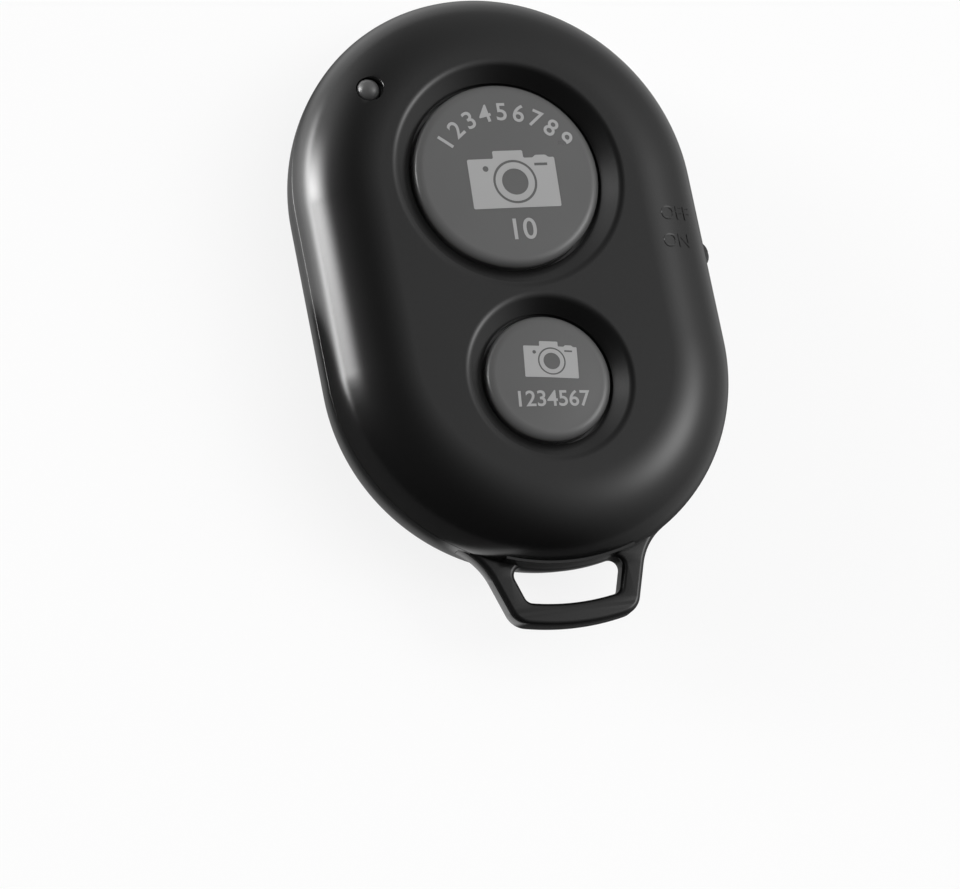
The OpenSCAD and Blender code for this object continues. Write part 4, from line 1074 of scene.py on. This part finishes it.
matt = net.node("ShaderNodeBsdfDiffuse", None, {"Color": grey(0.88)})
glow = net.node("ShaderNodeEmission", None,
                {"Color": grey(1.0), "Strength": rays["Is Camera Ray"] + rays["Is Glossy Ray"] * mirrored})
lifted = net.node("ShaderNodeMixShader", None, {0: share, 1: matt, 2: glow})
clear = net.node("ShaderNodeBsdfTransparent")
under = net.node("ShaderNodeNewGeometry")["Backfacing"]
net.node("ShaderNodeOutputMaterial", None,
         {"Surface": net.node("ShaderNodeMixShader", None, {0: under, 1: lifted, 2: clear})})
FLOOR_HALF, FLOOR_DROP = 4000 * MM, 0.1 * MM
corners = [(x * FLOOR_HALF, y * FLOOR_HALF, 0) for x, y in ((-1, -1), (1, -1), (1, 1), (-1, 1))]
mesh = bpy.data.meshes.new("floor")
mesh.from_pydata(corners, [], [(0, 1, 2, 3)])
mesh.transform(Matrix.Translation((0, 0, -FLOOR_DROP)))
mesh.materials.append(floor_material)
floor = new_object("floor", mesh)

# %% [markdown]
# The black gloss shows the studio itself: a soft light at the right, a tall window low on the left with
# two faint spots beside it, a faint glow from below, and a room that is dim at the right and dark
# towards the lower left. The world is that room, so that every highlight on the shell fades softly.

# %% The room
world = bpy.data.worlds.new("studio")
world.use_nodes = True
world.node_tree.nodes.clear()
scene.world = world
net = Net(world.node_tree)
way = net.node("ShaderNodeTexCoord")["Generated"]
up = net.node("ShaderNodeSeparateXYZ", None, {0: way})["Z"]


def toward(azimuth, from_zenith=90):
    """A direction, from its azimuth and its angle from straight up."""
    a, t = radians(azimuth), radians(from_zenith)
    return (cos(a) * sin(t), sin(a) * sin(t), cos(t))


def along(direction):
    return net.vector("DOT_PRODUCT", way, direction)["Value"]


LOG_OF_2 = 0.693


def spot(azimuth, from_zenith, brightness, width):
    """A soft round light, half as bright at a width in degrees from its middle."""
    tightness = LOG_OF_2 / (1 - cos(radians(width)))
    return ((along(toward(azimuth, from_zenith)) - 1) * tightness).math("EXPONENT") * brightness


WINDOW, WINDOW_GLOW, RIGHT = 157, 29, 22
side = along(toward(WINDOW + 90))
window = (
    net.ramp(side, 0.04, 0.15, 1, 0) * net.ramp(side, -0.42, 0.12)
    * net.ramp(up, 0.6, 0.16, 0, 1) * net.ramp(up, -0.1, 0) * (along(toward(WINDOW)) > 0) * WINDOW_GLOW
)
room = (
    net.ramp(along(toward(RIGHT)), -0.1, 0.75, 0.0, 0.45)
    + spot(azimuth=-3, from_zenith=45, brightness=4.2, width=9.5)
    + spot(azimuth=-4, from_zenith=43, brightness=0.85, width=26)
    + spot(azimuth=126, from_zenith=85, brightness=1.3, width=20)
    + spot(azimuth=140, from_zenith=60, brightness=0.6, width=18)
    + window + net.ramp(up, -0.05, -0.7, 0, 0.5)
)
rays = net.node("ShaderNodeLightPath")
unseen = 1 - rays["Is Camera Ray"]
net.node("ShaderNodeOutputWorld", None,
         {"Surface": net.node("ShaderNodeBackground", None,
                              {"Color": grey(1.0), "Strength": room * unseen + rays["Is Camera Ray"]})})
print("the room has", len(world.node_tree.nodes), "nodes")

# %% [markdown]
# A large soft lamp overhead brings the matt colours up to their written level. It is kept out of the
# gloss, which would otherwise show it as a grey patch.

# %% The overhead lamp
def softbox(name, towards, distance, width, height, radiance):
    """A soft lamp in a direction from the object, as bright as radiance all over. Lengths in metres."""
    lamp = bpy.data.lights.new(name, "AREA")
    lamp.shape, lamp.size, lamp.size_y = "RECTANGLE", width, height
    lamp.energy = radiance * pi * width * height
    made = new_object(name, lamp)
    made.location = Vector(towards) * distance
    made.rotation_euler = (-Vector(towards)).to_track_quat("-Z", "Y").to_euler()
    return made


overhead = softbox("overhead", toward(10, 15), distance=1.0, width=1.0, height=1.0, radiance=1.35)
overhead.visible_glossy = False
